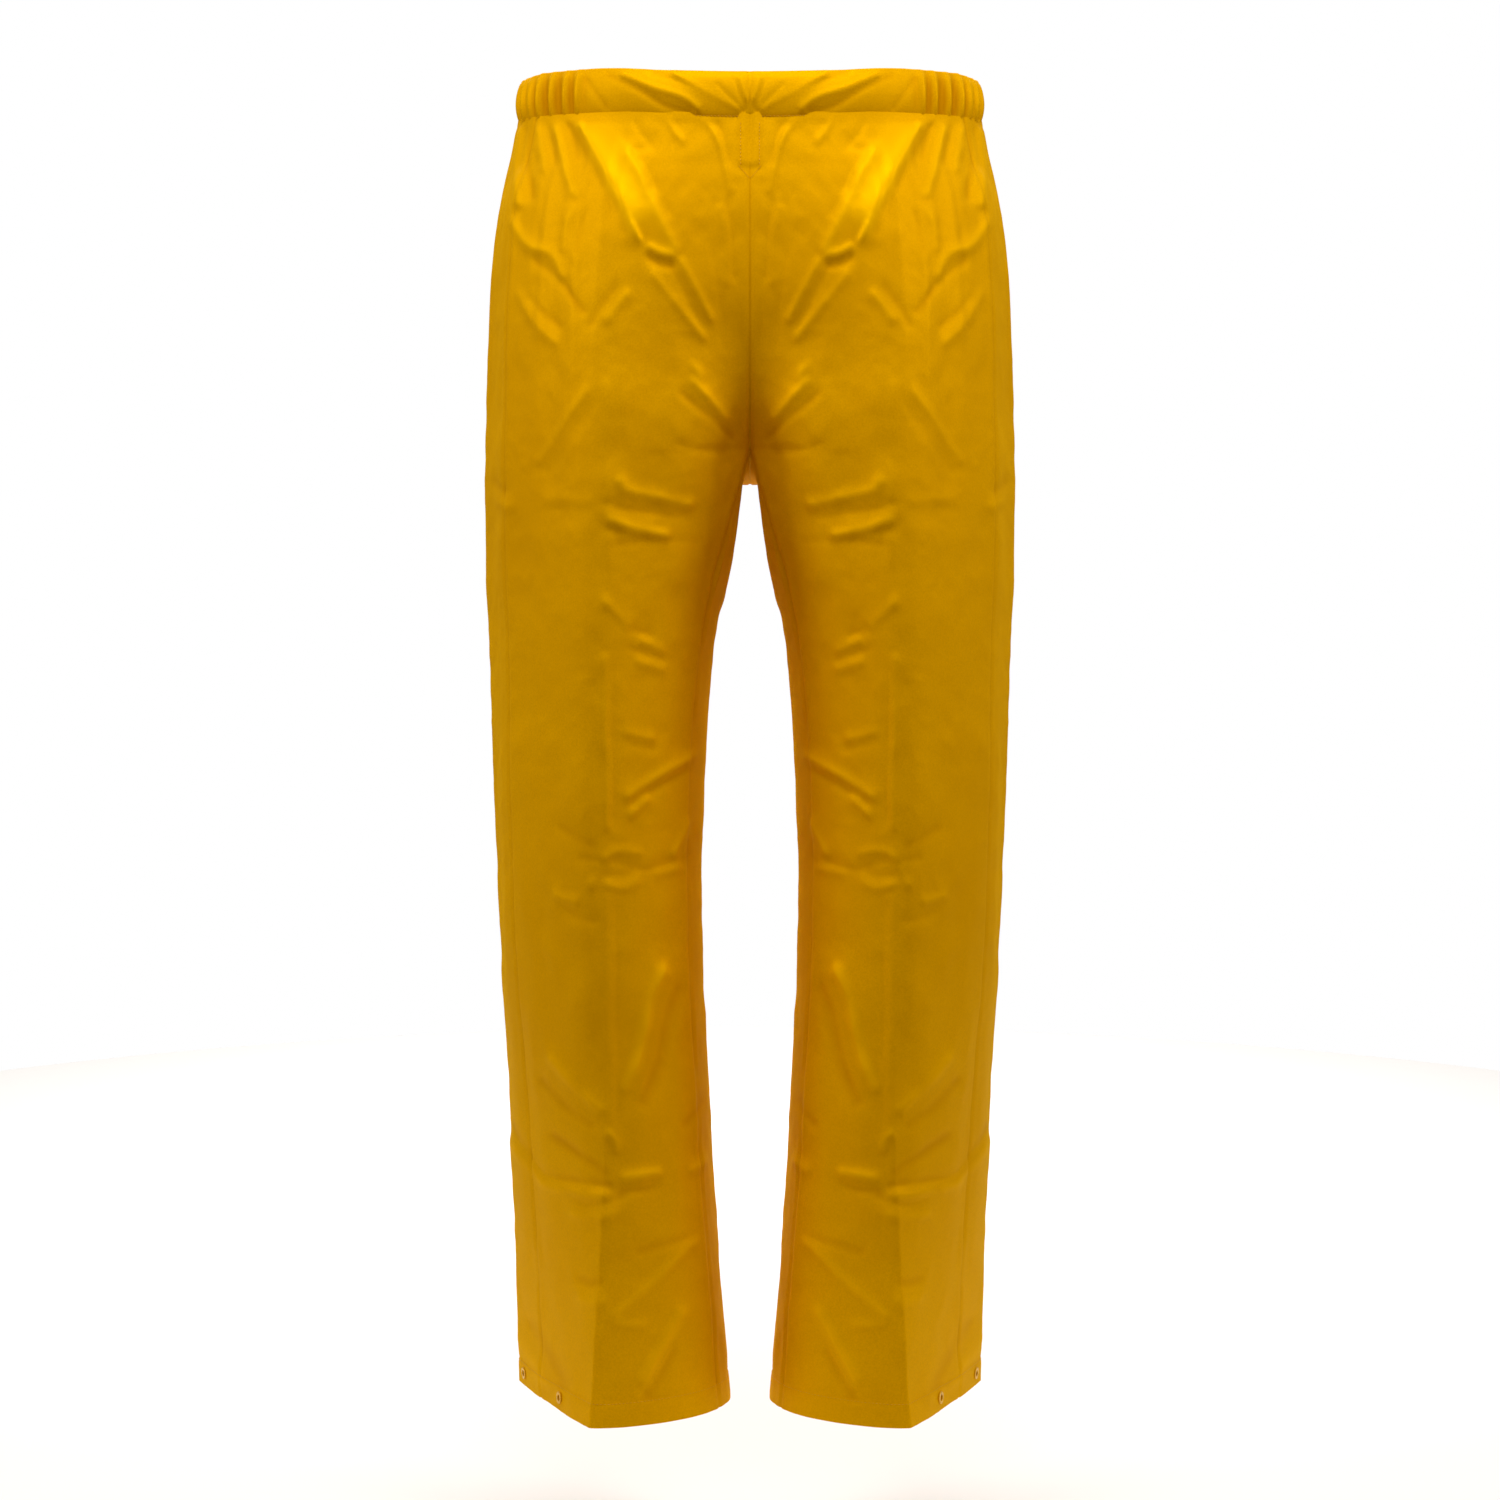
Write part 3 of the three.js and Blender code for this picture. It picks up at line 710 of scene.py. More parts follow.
def uneven(grid, size, seed):
    """Smooth unevenness over the cloth, in dents of about a size, from -1 to 1."""
    chance = np.random.default_rng(seed)
    places = grid.across - grid.across.min()
    down_lattice = np.arange(0, HEM_DEPTH + 4 * size, size)
    across_lattice = np.arange(0, places.max() + 4 * size, size)
    lattice = chance.uniform(-1, 1, (len(down_lattice), len(across_lattice), 1))
    rows = refined(lattice, down_lattice, grid.depths)
    i = np.clip((places / size).astype(int), 0, len(across_lattice) - 2)
    u = places / size - i
    share = u * u * (3 - 2 * u)
    row = np.arange(len(places))[:, None]
    return rows[row, i, 0] * (1 - share) + rows[row, i + 1, 0] * share


def crinkles(grid):
    """The small dents and sharp little creases of stiff coated cloth, in millimetres."""
    soft = 0.8 * uneven(grid, 34, 5) + 0.35 * uneven(grid, 15, 6)
    creased = 0.3 * np.abs(uneven(grid, 19, 7)) + 0.2 * np.abs(uneven(grid, 11, 8))
    return soft - creased + 0.07 * uneven(grid, 5.5, 9)


def keep_middle(grid, points):
    """The two halves meet on the middle plane, and the leg closes on itself."""
    above = grid.depths <= CROTCH_DEPTH
    points[above, 0, 0] = 0
    points[above, -1, 0] = 0
    points[..., 0] = np.maximum(points[..., 0], 0)
    points[~above, -1] = points[~above, 0]


def waist_gathers(grid):
    """Ruffles that the waist elastic draws in at the sides and the back, dying out below it."""
    along = grid.across
    side = gather_ridges(along, 8, GATHER_END, 15, seed=3)
    below = grid.depths[:, None] - BAND_HEIGHT
    fade = np.exp(-((np.maximum(below, 0) / 34) ** 1.2))
    return 0.8 * sizes().gather_depth / MM * side * fade * ease(-4, 16, along)


def seam_depth(grid):
    """How far the seams, the stitched facing and the hem's line lift or sink the cloth."""
    side = seam_line(grid.across)
    ends = grid.across - grid.across[:, :1]
    back_ends = grid.across[:, -1:] - grid.across
    middle = 1.2 * (seam_line(ends) + seam_line(back_ends))
    above_end = 1 - ease(FACING_END - 3, FACING_END + 2, grid.depths)
    facing = 0.9 * (1 - ease(7.5, 10, ends)) * above_end[:, None]
    above_edge = HEM_DEPTH - HEM_HEIGHT - grid.depths
    hem = 0.4 * (1 - ease(-1, 2, above_edge)) - 0.5 * np.exp(-((above_edge / 1.8) ** 2))
    return side + middle + facing + hem[:, None]


# ---- Meshes -------------------------------------------------------------------------------------


def deselect_all():
    bpy.ops.object.select_all(action="DESELECT")


def put_in_scene(name, mesh):
    piece = bpy.data.objects.new(name, mesh)
    bpy.context.scene.collection.objects.link(piece)
    return piece


def paint(mesh, name, values):
    """Stores one number for each point of a mesh, for its material to read."""
    layer = mesh.attributes.new(name, "FLOAT", "POINT")
    layer.data.foreach_set("value", np.asarray(values, np.float32))


def write_places(mesh, places):
    """Stores each point's place on the flat cloth, in metres, as the mesh's UV map."""
    corner_points = np.zeros(len(mesh.loops), np.int32)
    mesh.loops.foreach_get("vertex_index", corner_points)
    layer = mesh.uv_layers.new(name="cloth")
    layer.data.foreach_set("uv", places[corner_points].ravel().astype(np.float32))


def cloth_shell(name, outer, normals, thickness, uv, fold=None, mirror=False, ring=False):
    """A closed skin of cloth: the grid of outer points, an inner one under it and the rim between."""
    rows, columns = outer.shape[:2]
    inner = outer - normals * thickness
    points = np.concatenate([outer.reshape(-1, 3), inner.reshape(-1, 3)])
    facing = np.concatenate([normals.reshape(-1, 3), -normals.reshape(-1, 3)])
    if mirror:
        points = points * MIRROR
        facing = facing * MIRROR
    number = np.arange(rows * columns).reshape(rows, columns)
    if ring:
        number = np.concatenate([number, number[:, :1]], axis=1)
    under = number + rows * columns
    corners = (number[:-1, :-1], number[1:, :-1], number[1:, 1:], number[:-1, 1:])
    front = np.stack(corners, axis=-1).reshape(-1, 4)
    back = front[:, ::-1] + rows * columns
    if ring:
        edges = [(number[-1], under[-1]), (number[0][::-1], under[0][::-1])]
    else:
        loop = np.r_[number[:, 0], number[-1, 1:], number[-2::-1, -1], number[0, -2::-1]]
        edges = [(loop, loop + rows * columns)]
    rims = [np.stack([e[1:], e[:-1], u[:-1], u[1:]], axis=-1) for e, u in edges]
    faces = np.concatenate([front, back, *rims])
    if mirror:
        faces = faces[:, ::-1]
    mesh = bpy.data.meshes.new(name)
    mesh.from_pydata((points * MM).tolist(), [], faces.tolist())
    mesh.shade_smooth()
    lining = np.zeros(len(faces), np.int32)
    lining[len(front):len(front) + len(back)] = 1
    mesh.polygons.foreach_set("material_index", lining)
    write_places(mesh, np.tile(uv.reshape(-1, 2), (2, 1)) * MM)
    # fold heights, from which the coated cloth's colour paints highlights on folds and shade in creases
    folds = np.zeros(rows * columns) if fold is None else fold.ravel()
    paint(mesh, "fold", np.tile(folds, 2))
    mesh.normals_split_custom_set_from_vertices(facing.tolist())
    return put_in_scene(name, mesh)


def finish_piece(piece, materials, nodes):
    for material in materials:
        piece.data.materials.append(material)
    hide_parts(*nodes)


def ride_leg(piece, upper):
    """Bakes a piece's placement into its mesh, the same way for an upper piece and a lower one."""
    if upper:
        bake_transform(piece)
    else:
        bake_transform(piece)


# ---- Shader groups ------------------------------------------------------------------------------


def new_group(name, inputs, outputs):
    """A shader node group with float inputs, and its inner input and output nodes."""
    tree = bpy.data.node_groups.new(name, "ShaderNodeTree")
    for socket_name, default in inputs:
        socket = tree.interface.new_socket(socket_name, in_out="INPUT", socket_type="NodeSocketFloat")
        socket.default_value = default
    for socket_name, kind in outputs:
        tree.interface.new_socket(socket_name, in_out="OUTPUT", socket_type=kind)
    return tree, tree.nodes.new("NodeGroupInput"), tree.nodes.new("NodeGroupOutput")


def math_node(tree, operation, *values):
    """A Math node's output: each value is a number or another node's output."""
    node = tree.nodes.new("ShaderNodeMath")
    node.operation = operation
    for socket, value in zip(node.inputs, values):
        if isinstance(value, (int, float)):
            socket.default_value = value
        else:
            tree.links.new(value, socket)
    return node.outputs[0]


@lru_cache
def weave_group():
    """A plain weave on the piece's own cloth places: its height, from 0 to 1."""
    inputs = [("Threads per metre", 900.0)]
    tree, inside, out = new_group("Plain weave", inputs, [("Height", "NodeSocketFloat")])
    places = tree.nodes.new("ShaderNodeUVMap")
    places.uv_map = "cloth"
    split = tree.nodes.new("ShaderNodeSeparateXYZ")
    tree.links.new(places.outputs["UV"], split.inputs[0])
    turns = math_node(tree, "MULTIPLY", inside.outputs[0], 2 * math.pi)
    across = math_node(tree, "SINE", math_node(tree, "MULTIPLY", split.outputs[0], turns))
    down = math_node(tree, "SINE", math_node(tree, "MULTIPLY", split.outputs[1], turns))
    over = math_node(tree, "MULTIPLY", across, down)
    tree.links.new(math_node(tree, "MULTIPLY_ADD", over, 0.5, 0.5), out.inputs[0])
    return tree


@lru_cache
def drift_group():
    """Slow and fine unevenness over a surface, each from 0 to 1."""
    tree, inside, out = new_group(
        "Uneven surface",
        [("Slow scale", 7.0), ("Fine scale", 420.0)],
        [("Slow", "NodeSocketFloat"), ("Fine", "NodeSocketFloat")],
    )
    places = tree.nodes.new("ShaderNodeTexCoord")
    for number, (detail, rough) in enumerate(((3.0, 0.5), (4.0, 0.65))):
        noise = tree.nodes.new("ShaderNodeTexNoise")
        noise.inputs["Detail"].default_value = detail
        noise.inputs["Roughness"].default_value = rough
        tree.links.new(places.outputs["Object"], noise.inputs["Vector"])
        tree.links.new(inside.outputs[number], noise.inputs["Scale"])
        tree.links.new(noise.outputs["Fac"], out.inputs[number])
    return tree


def place_group(material, group, **values):
    node = material.node_tree.nodes.new("ShaderNodeGroup")
    node.node_tree = group
    for name, value in values.items():
        node.inputs[name.replace("_", " ")].default_value = value
    return node


def colour_mix(tree, share, first, second):
    """A mix of two colours: each of them is a colour or a node's output."""
    node = tree.nodes.new("ShaderNodeMix")
    node.data_type = "RGBA"
    for socket, value in ((node.inputs[0], share), (node.inputs[6], first), (node.inputs[7], second)):
        if hasattr(value, "is_linked"):
            tree.links.new(value, socket)
        elif isinstance(value, (int, float)):
            socket.default_value = value
        else:
            socket.default_value = (*tuple(value)[:3], 1)
    return node.outputs[2]


def ramp(tree, value, first, last):
    """Rises evenly from 0 at the first value to 1 at the last one."""
    node = tree.nodes.new("ShaderNodeMapRange")
    tree.links.new(value, node.inputs["Value"])
    node.inputs["From Min"].default_value = first
    node.inputs["From Max"].default_value = last
    return node.outputs["Result"]


def new_material(name, roughness, specular=0.5):
    material = bpy.data.materials.new(name)
    material.use_nodes = True
    shader = material.node_tree.nodes["Principled BSDF"]
    shader.inputs["Roughness"].default_value = roughness
    shader.inputs["Specular IOR Level"].default_value = specular
    return material, material.node_tree, shader


def add_bump(tree, shader, *layers):
    """Chains bumps into the normal: each layer is (height, its size in metres, strength)."""
    normal = None
    for height, size, strength in layers:
        bump = tree.nodes.new("ShaderNodeBump")
        bump.inputs["Distance"].default_value = size
        bump.inputs["Strength"].default_value = strength
        tree.links.new(height, bump.inputs["Height"])
        if normal:
            tree.links.new(normal, bump.inputs["Normal"])
        normal = bump.outputs["Normal"]
    tree.links.new(normal, shader.inputs["Normal"])


def mottled(tree, drift, dark, light, edge=0.3):
    """Patches of a darker and a lighter shade that run into each other."""
    return colour_mix(tree, ramp(tree, drift.outputs["Slow"], edge, 1 - edge), dark, light)


def shade_of(colour, factor, warmth=1.0):
    """A colour made lighter or darker, and its green share changed to warm or cool it."""
    return (colour[0] * factor, colour[1] * factor * warmth, colour[2] * factor)


@lru_cache
def coated_cloth():
    """The coated outer face: painted highlights on its folds, and painted shade, darker and warmer, in
    its creases.
    """
    colour = palette().cloth
    material, tree, shader = new_material("Coated cloth", 0.5, 0.0)
    shader.inputs["Metallic"].default_value = 0.15
    shader.inputs["Sheen Weight"].default_value = 0.3
    shader.inputs["Sheen Roughness"].default_value = 0.45
    shader.inputs["Sheen Tint"].default_value = (1.0, 0.62, 0.0, 1)
    weave = place_group(material, weave_group(), Threads_per_metre=1100.0)
    drift = place_group(material, drift_group(), Slow_scale=6.0, Fine_scale=700.0)
    patches = mottled(tree, drift, shade_of(colour, 0.94, 0.96), shade_of(colour, 1.04, 1.03))
    grain = ramp(tree, drift.outputs["Fine"], 0.25, 0.75)
    grained = colour_mix(tree, grain, shade_of(colour, 0.84, 0.97), patches)
    fold = tree.nodes.new("ShaderNodeAttribute")
    fold.attribute_name = "fold"
    # painted shade: the colour turns darker and warmer where the folds and the seams sink
    sunk = ramp(tree, fold.outputs["Fac"], -0.3, -2.4)
    creased = colour_mix(tree, sunk, grained, shade_of(colour, 0.72, 0.84))
    # painted highlight: the colour turns lighter along the tops of the folds
    proud = ramp(tree, fold.outputs["Fac"], 0.6, 4.5)
    painted_light_and_shade = colour_mix(tree, proud, creased, shade_of(colour, 1.12, 1.06))
    tree.links.new(painted_light_and_shade, shader.inputs["Base Color"])
    gloss = ramp(tree, drift.outputs["Slow"], 0.2, 0.8)
    tree.links.new(math_node(tree, "MULTIPLY_ADD", gloss, 0.1, 0.46), shader.inputs["Roughness"])
    grain_bump = (drift.outputs["Fine"], 0.0004, 0.35)
    add_bump(tree, shader, grain_bump, (weave.outputs["Height"], 0.00006, 0.5))
    return material


def plain_cloth(name, colour, roughness, threads, weave_height):
    """A woven or knitted face without a coating."""
    material, tree, shader = new_material(name, roughness, 0.3)
    weave = place_group(material, weave_group(), Threads_per_metre=threads)
    drift = place_group(material, drift_group(), Slow_scale=12.0, Fine_scale=500.0)
    patches = mottled(tree, drift, shade_of(colour, 0.92), shade_of(colour, 1.05))
    threads_show = ramp(tree, weave.outputs["Height"], -0.2, 0.9)
    threaded = colour_mix(tree, threads_show, shade_of(colour, 0.82), patches)
    tree.links.new(threaded, shader.inputs["Base Color"])
    grain_bump = (drift.outputs["Fine"], 0.0003, 0.3)
    add_bump(tree, shader, grain_bump, (weave.outputs["Height"], weave_height, 0.7))
    return material


@lru_cache
def cloth_backing():
    return plain_cloth("Cloth backing", palette().backing, 0.75, 900.0, 0.00012)


@lru_cache
def seam_tape_cloth():
    return plain_cloth("Seam tape", palette().tape, 0.45, 1400.0, 0.00004)


@lru_cache
def elastic_webbing():
    return plain_cloth("Elastic webbing", palette().elastic, 0.85, 520.0, 0.0004)


@lru_cache
def label_satin():
    return plain_cloth("Label satin", palette().label, 0.5, 1600.0, 0.00005)


@lru_cache
def sewing_thread():
    return plain_cloth("Sewing thread", palette().thread, 0.55, 2600.0, 0.00004)


@lru_cache
def stud_enamel():
    """Painted metal: satin paint, finely uneven."""
    colour = palette().enamel
    material, tree, shader = new_material("Stud enamel", 0.35, 0.2)
    drift = place_group(material, drift_group(), Slow_scale=160.0, Fine_scale=1500.0)
    patches = mottled(tree, drift, shade_of(colour, 0.9), shade_of(colour, 1.06))
    tree.links.new(patches, shader.inputs["Base Color"])
    shader.inputs["Metallic"].default_value = 0.25
    add_bump(tree, shader, (drift.outputs["Fine"], 0.0001, 0.25))
    return material


@lru_cache
def studio_paint():
    colour = palette().studio
    material, tree, shader = new_material("Studio paint", 0.9, 0.2)
    drift = place_group(material, drift_group(), Slow_scale=1.2, Fine_scale=60.0)
    patches = mottled(tree, drift, shade_of(colour, 0.985), shade_of(colour, 1.0), edge=0.2)
    tree.links.new(patches, shader.inputs["Base Color"])
    add_bump(tree, shader, (drift.outputs["Fine"], 0.0005, 0.1))
    return material


# ---- Pieces: the legs ---------------------------------------------------------------------------

PANEL_NODES = {
    "upper": ("seat_panel", "hip_fold", "thigh_panel"),
    "lower": ("knee_fold", "shin_panel"),
}


def panel_rows(grid, part):
    split = grid.row(SPLIT_DEPTH)
    return slice(0, split + 1) if part == "upper" else slice(split, None)


def build_panel(side, face, part):
    """One panel of a leg: front or back, above or below the middle of the thigh."""
    grid, *layers = skin()
    rows = panel_rows(grid, part)
    columns = grid.columns(face)
    points, normals, height = (layer[rows, columns] for layer in layers)
    uv = grid.flat_places()[rows, columns]
    name = f"{side}_{face}_{part}_panel"
    piece = cloth_shell(name, points, normals, cloth_layer(), uv, height, side == "right")
    nodes = [f"{side}_{face}_{node}" for node in PANEL_NODES[part]]
    finish_piece(piece, (coated_cloth(), cloth_backing()), nodes)
    ride_leg(piece, part == "upper")


# ---- Pieces: seam tapes and hems -----------------------------------------------------------------

TAPE_HALF = 10
TAPE_COLUMNS = 9
TAPE_THICKNESS = 0.25
TAPE_GAP = 0.08  # between the cloth and what lies flat against it
TAPE_START = BAND_HEIGHT + 2
INSEAM_TAPE_START = CROTCH_DEPTH + 30
RISE_TAPE_ENDS = {"front": 300, "back": 240}
HEM_GAP = 0.15
HEM_THICKNESS = 0.5


def strip_on_skin(rows, offsets, centre, inside):
    """Rows of points at lengths from a seam, under the skin. The seam is named by its centre."""
    grid, points, normals, _ = skin()
    found = []
    facing = []
    for row in range(rows.start, rows.stop):
        line, line_normals, along = unrolled(grid, points, normals, row, centre)
        found.append(points_along(offsets, along, line))
        facing.append(points_along(offsets, along, line_normals))
    outwards = unit(np.array(facing))
    return np.array(found) - outwards * inside, outwards


def unrolled(grid, points, normals, row, centre):
    """A row of the skin on both sides of a seam, with each point's length from that seam.

    The centre is side or inseam, which lie in the half itself, or front or back, where the
    half goes on in its mirror image.
    """
    line = points[row]
    facing = normals[row]
    along = grid.across[row]
    if centre == "side":
        return line, facing, along
    if centre == "inseam":
        before = slice(grid.side, None)
        after = slice(1, grid.side)
        lengths = np.r_[along[before] - along[-1], along[after] - along[0]]
        return np.r_[line[before], line[after]], np.r_[facing[before], facing[after]], lengths
    if centre == "front":
        near = slice(0, grid.side)
        far = slice(grid.side - 1, 0, -1)
        lengths = along - along[0]
        parts = ((line[far] * MIRROR, line[near]), (facing[far] * MIRROR, facing[near]))
        return *(np.concatenate(part) for part in parts), np.r_[-lengths[far], lengths[near]]
    near = slice(grid.side, None)
    far = slice(-2, grid.side - 1, -1)
    lengths = along - along[-1]
    parts = ((line[near], line[far] * MIRROR), (facing[near], facing[far] * MIRROR))
    return *(np.concatenate(part) for part in parts), np.r_[lengths[near], -lengths[far]]


def strip_piece(name, rows, offsets, centre, inside, thickness, mirror):
    """A strip of cloth under the skin, with its flat width and length, and its area."""
    grid = skin()[0]
    surface, outwards = strip_on_skin(rows, offsets, centre, inside)
    down = np.repeat(grid.depths[rows][:, None], len(offsets), axis=1)
    uv = np.stack([np.repeat(offsets[None], len(down), axis=0), down], axis=-1)
    piece = cloth_shell(name, surface, outwards, thickness, uv, None, mirror)
    spread = float(np.ptp(offsets)) * MM
    length = float(np.linalg.norm(np.diff(surface[:, len(offsets) // 2], axis=0), axis=1).sum()) * MM
    return piece, (spread, length * 1.02), spread * length


def build_tape(name, top, bottom, centre, side, nodes):
    """A length of tape over a seam, on the inside."""
    grid = skin()[0]
    rows = slice(grid.row(top), grid.row(bottom) + 1)
    offsets = np.linspace(-TAPE_HALF, TAPE_HALF, TAPE_COLUMNS)
    inside = cloth_layer() + TAPE_GAP
    mirror = side == "right"
    piece, flat, area = strip_piece(name, rows, offsets, centre, inside, TAPE_THICKNESS, mirror)
    finish_piece(piece, (seam_tape_cloth(), seam_tape_cloth()), nodes)
    return piece


def build_leg_tapes(side, seam, centre):
    """One seam's tape, in an upper and a lower length that meet where the panels do."""
    start = TAPE_START if seam == "outseam" else INSEAM_TAPE_START
    lengths = (
        ("upper", "thigh", start, SPLIT_DEPTH),
        ("lower", "shin", SPLIT_DEPTH, HEM_DEPTH - HEM_HEIGHT),
    )
    for part, node, top, bottom in lengths:
        name = f"{side}_{part}_{seam}_tape"
        piece = build_tape(name, top, bottom, centre, side, [f"{side}_{node}_{seam}_tape"])
        ride_leg(piece, part == "upper")


def build_rise_tape(face):
    """The tape over the centre seam, from the waistband towards the crotch."""
    name = f"{face}_rise_tape"
    piece = build_tape(name, TAPE_START, RISE_TAPE_ENDS[face], face, "left", [name])
    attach(piece, "seat")


def build_hem(side, face):
    """The turned-up hem inside the leg, folded over at its lower edge."""
    grid, points, normals, _ = skin()
    rows = slice(grid.row(HEM_DEPTH - HEM_HEIGHT), None)
    columns = grid.columns(face)
    outwards = normals[rows, columns]
    surface = points[rows, columns] - outwards * (cloth_layer() + HEM_GAP)
    uv = grid.flat_places()[rows, columns]
    name = f"{side}_{face}_hem_turn_up"
    piece = cloth_shell(name, surface, outwards, HEM_THICKNESS, uv, None, side == "right")
    finish_piece(piece, (cloth_backing(), coated_cloth()), [name])
    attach(piece, f"{side}_shin")


# ---- Pieces: the waistband ----------------------------------------------------------------------

BAND_LIFT = 3.6  # how far the gathered band stands proud of the plain one
BAND_INSIDE = 6.0  # from the casing's outer layer to its inner one
BAND_TURN = 2.6  # height of the turn over the elastic
BAND_LOW = BAND_HEIGHT + 1.5
BAND_ROWS = 18  # on the outer side, and as many on the inner one
BAND_SHOWN = 22  # rows that are seen from outside
ELASTIC_HEIGHTS = (-4, -36)
ELASTIC_INSIDE = 3.4
ELASTIC_THICKNESS = 1.2
ELASTIC_RIBS = 4


def band_path():
    """The folded cloth's path from the outer lower edge, over the top, to the inner lower edge."""
    up = np.linspace(0, 1, BAND_ROWS)
    belly = BAND_LIFT * np.sin(math.pi * up) ** 0.6
    outer = np.stack([-belly, -BAND_LOW + (BAND_LOW - BAND_TURN) * up], axis=1)
    turn = np.linspace(0, math.pi, 9)[1:-1]
    middle = BAND_INSIDE / 2
    over = np.stack([middle - middle * np.cos(turn), -BAND_TURN + BAND_TURN * np.sin(turn)], axis=1)
    down = -BAND_TURN - (BAND_HEIGHT - BAND_TURN) * up
    inner = np.stack([np.full_like(up, BAND_INSIDE), down], axis=1)
    return np.concatenate([outer, over, inner])


@lru_cache
def band_skin():
    """The left half of the waistband: rows run over its top from outside to inside."""
    middle = Grid([BAND_HEIGHT / 2, BAND_HEIGHT / 2 + 2], FRONT_COLUMNS, BACK_COLUMNS)
    top = Grid([0, 2], FRONT_COLUMNS, BACK_COLUMNS)
    base = middle.points[0]
    outwards = unit(middle.normals[0] * (1, 1, 0))
    along = middle.across[0]
    path = band_path()
    rows = base[None] - outwards[None] * path[:, None, :1]
    crest = ease(60, 130, base[:, 0]) * (1 - ease(170, 194, base[:, 0])) * (base[:, 1] < 0)
    stretch = 1 + 0.06 * crest * (path[:, None, 1] > -20)
    rows[..., 2] = top.points[0][:, 2] + path[:, None, 1] * stretch
    rows[..., 2] += 2.4 * crest * ease(-BAND_LOW, 0, path[:, 1])[:, None]
    ridges = gather_ridges(along, -52, GATHER_END, 13.5, seed=11)[None]
    up = 1 + path[:, 1] / BAND_LOW
    share = np.sin(math.pi * np.clip(up, 0, 1) ** 0.8)[:, None] * 0.75 + 0.25
    where = ease(-70, -40, along)[None]
    height = 1.9 * sizes().gather_depth / MM * ridges * share * where
    front = ease(0.15, 0.4, -middle.normals[0][:, 1])[None]
    view = seen_from_front(rows)
    outside = (np.arange(len(path)) < BAND_SHOWN)[:, None]
    drags = all_folds(view, BAND_FOLDS, front * outside) * sizes().fold_depth
    lift = np.where(outside, height + drags, 0.45 * height)
    rows = rows + outwards[None] * lift[..., None]
    seams = seam_line(along) + seam_line(along - along[0]) + seam_line(along[-1] - along)
    rows = rows + outwards[None] * (seams[None] * outside)[..., None]
    rows[:, 0, 0] = 0
    rows[:, -1, 0] = 0
    return middle, rows, band_normals(rows), lift


def band_normals(rows):
    before = np.concatenate([rows[:, 1:2] * MIRROR, rows[:, :-1]], axis=1)
    after = np.concatenate([rows[:, 1:], rows[:, -2:-1] * MIRROR], axis=1)
    return unit(np.cross(after - before, np.gradient(rows, axis=0)))


def build_band(side, face):
    """One quarter of the waistband casing, with its ruffles and the pulls across its front."""
    grid, *layers = band_skin()
    columns = grid.columns(face)
    points, normals, lift = (layer[::-1, columns] for layer in layers)
    along = grid.across[0][columns]
    travel = lengths_along(band_path())
    uv = np.stack(np.meshgrid(along, travel), axis=-1)[::-1]
    name = f"{side}_{face}_waistband"
    # the band's lift goes to the cloth's colour, which paints highlight and shade from it
    piece = cloth_shell(name, points, normals, cloth_layer(), uv, lift, side == "right")
    finish_piece(piece, (coated_cloth(), cloth_backing()), [name])
    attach(piece, "seat")


def build_elastic():
    """The elastic inside the casing: one ribbed loop."""
    grid, rows, _, _ = band_skin()
    outwards = unit(grid.normals[0] * (1, 1, 0))
    top = rows[:BAND_ROWS, :, 2].max(axis=0)
    heights = np.linspace(*ELASTIC_HEIGHTS, 17)
    line = grid.points[0] - outwards * ELASTIC_INSIDE
    half = np.repeat(line[None], len(heights), axis=0)
    half[..., 2] = top[None] + heights[:, None]
    facing = np.repeat(outwards[None], len(heights), axis=0)
    points = np.concatenate([half, half[:, -2:0:-1] * MIRROR], axis=1)
    normals = np.concatenate([facing, facing[:, -2:0:-1] * MIRROR], axis=1)
    ribs = 0.25 * np.sin(np.linspace(0, 2 * math.pi * ELASTIC_RIBS, len(heights)))
    points = points + normals * ribs[:, None, None]
    steps = np.linalg.norm(np.diff(points[0], axis=0, append=points[0][:1]), axis=1)
    travel = np.r_[0, np.cumsum(steps)]
    uv = np.stack(np.meshgrid(travel[:-1], heights), axis=-1)
    piece = cloth_shell("waist_elastic", points, normals, ELASTIC_THICKNESS, uv, ring=True)
    finish_piece(piece, (elastic_webbing(), elastic_webbing()), ["waist_elastic"])
    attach(piece, "seat")


# ---- Pieces: label, stitches, studs --------------------------------------------------------------


LABEL_EDGES = (-46, -16)  # from the centre back seam
LABEL_LENGTH = 42
LABEL_COLUMNS = 13


def build_label():
    """A blank care label, hanging inside the back from the waistband's seam."""
    grid = skin()[0]
    rows = slice(grid.row(BAND_HEIGHT + 1), grid.row(BAND_HEIGHT + 1 + LABEL_LENGTH))
    offsets = np.linspace(*LABEL_EDGES, LABEL_COLUMNS)
    surface, outwards = strip_on_skin(rows, offsets, "back", 3.0)
    down = np.linspace(0, 1, len(surface))
    curl = 1.6 * np.sin(1.8 * math.pi * down)[:, None] * np.linspace(0.6, 1.1, LABEL_COLUMNS)[None]
    surface = surface - outwards * curl[..., None]
    uv = np.stack(np.meshgrid(offsets, down * LABEL_LENGTH), axis=-1)
    piece = cloth_shell("care_label", surface, outwards, 0.22, uv)
    finish_piece(piece, (label_satin(), label_satin()), ["care_label"])
    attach(piece, "seat")


STITCH_SHARE = 0.72  # of the way from one stitch to the next, the thread shows on this much
STITCH_RINGS = np.array([0, 0.22, 0.5, 0.78, 1])  # places along one stitch
STITCH_SWELL = np.array([0.35, 0.9, 1, 0.9, 0.35])  # the thread's radius there
STITCH_LIFT = np.array([-0.6, 0.5, 0.9, 0.5, -0.6])  # its height over the cloth, in radii
THREAD_SIDES = 6


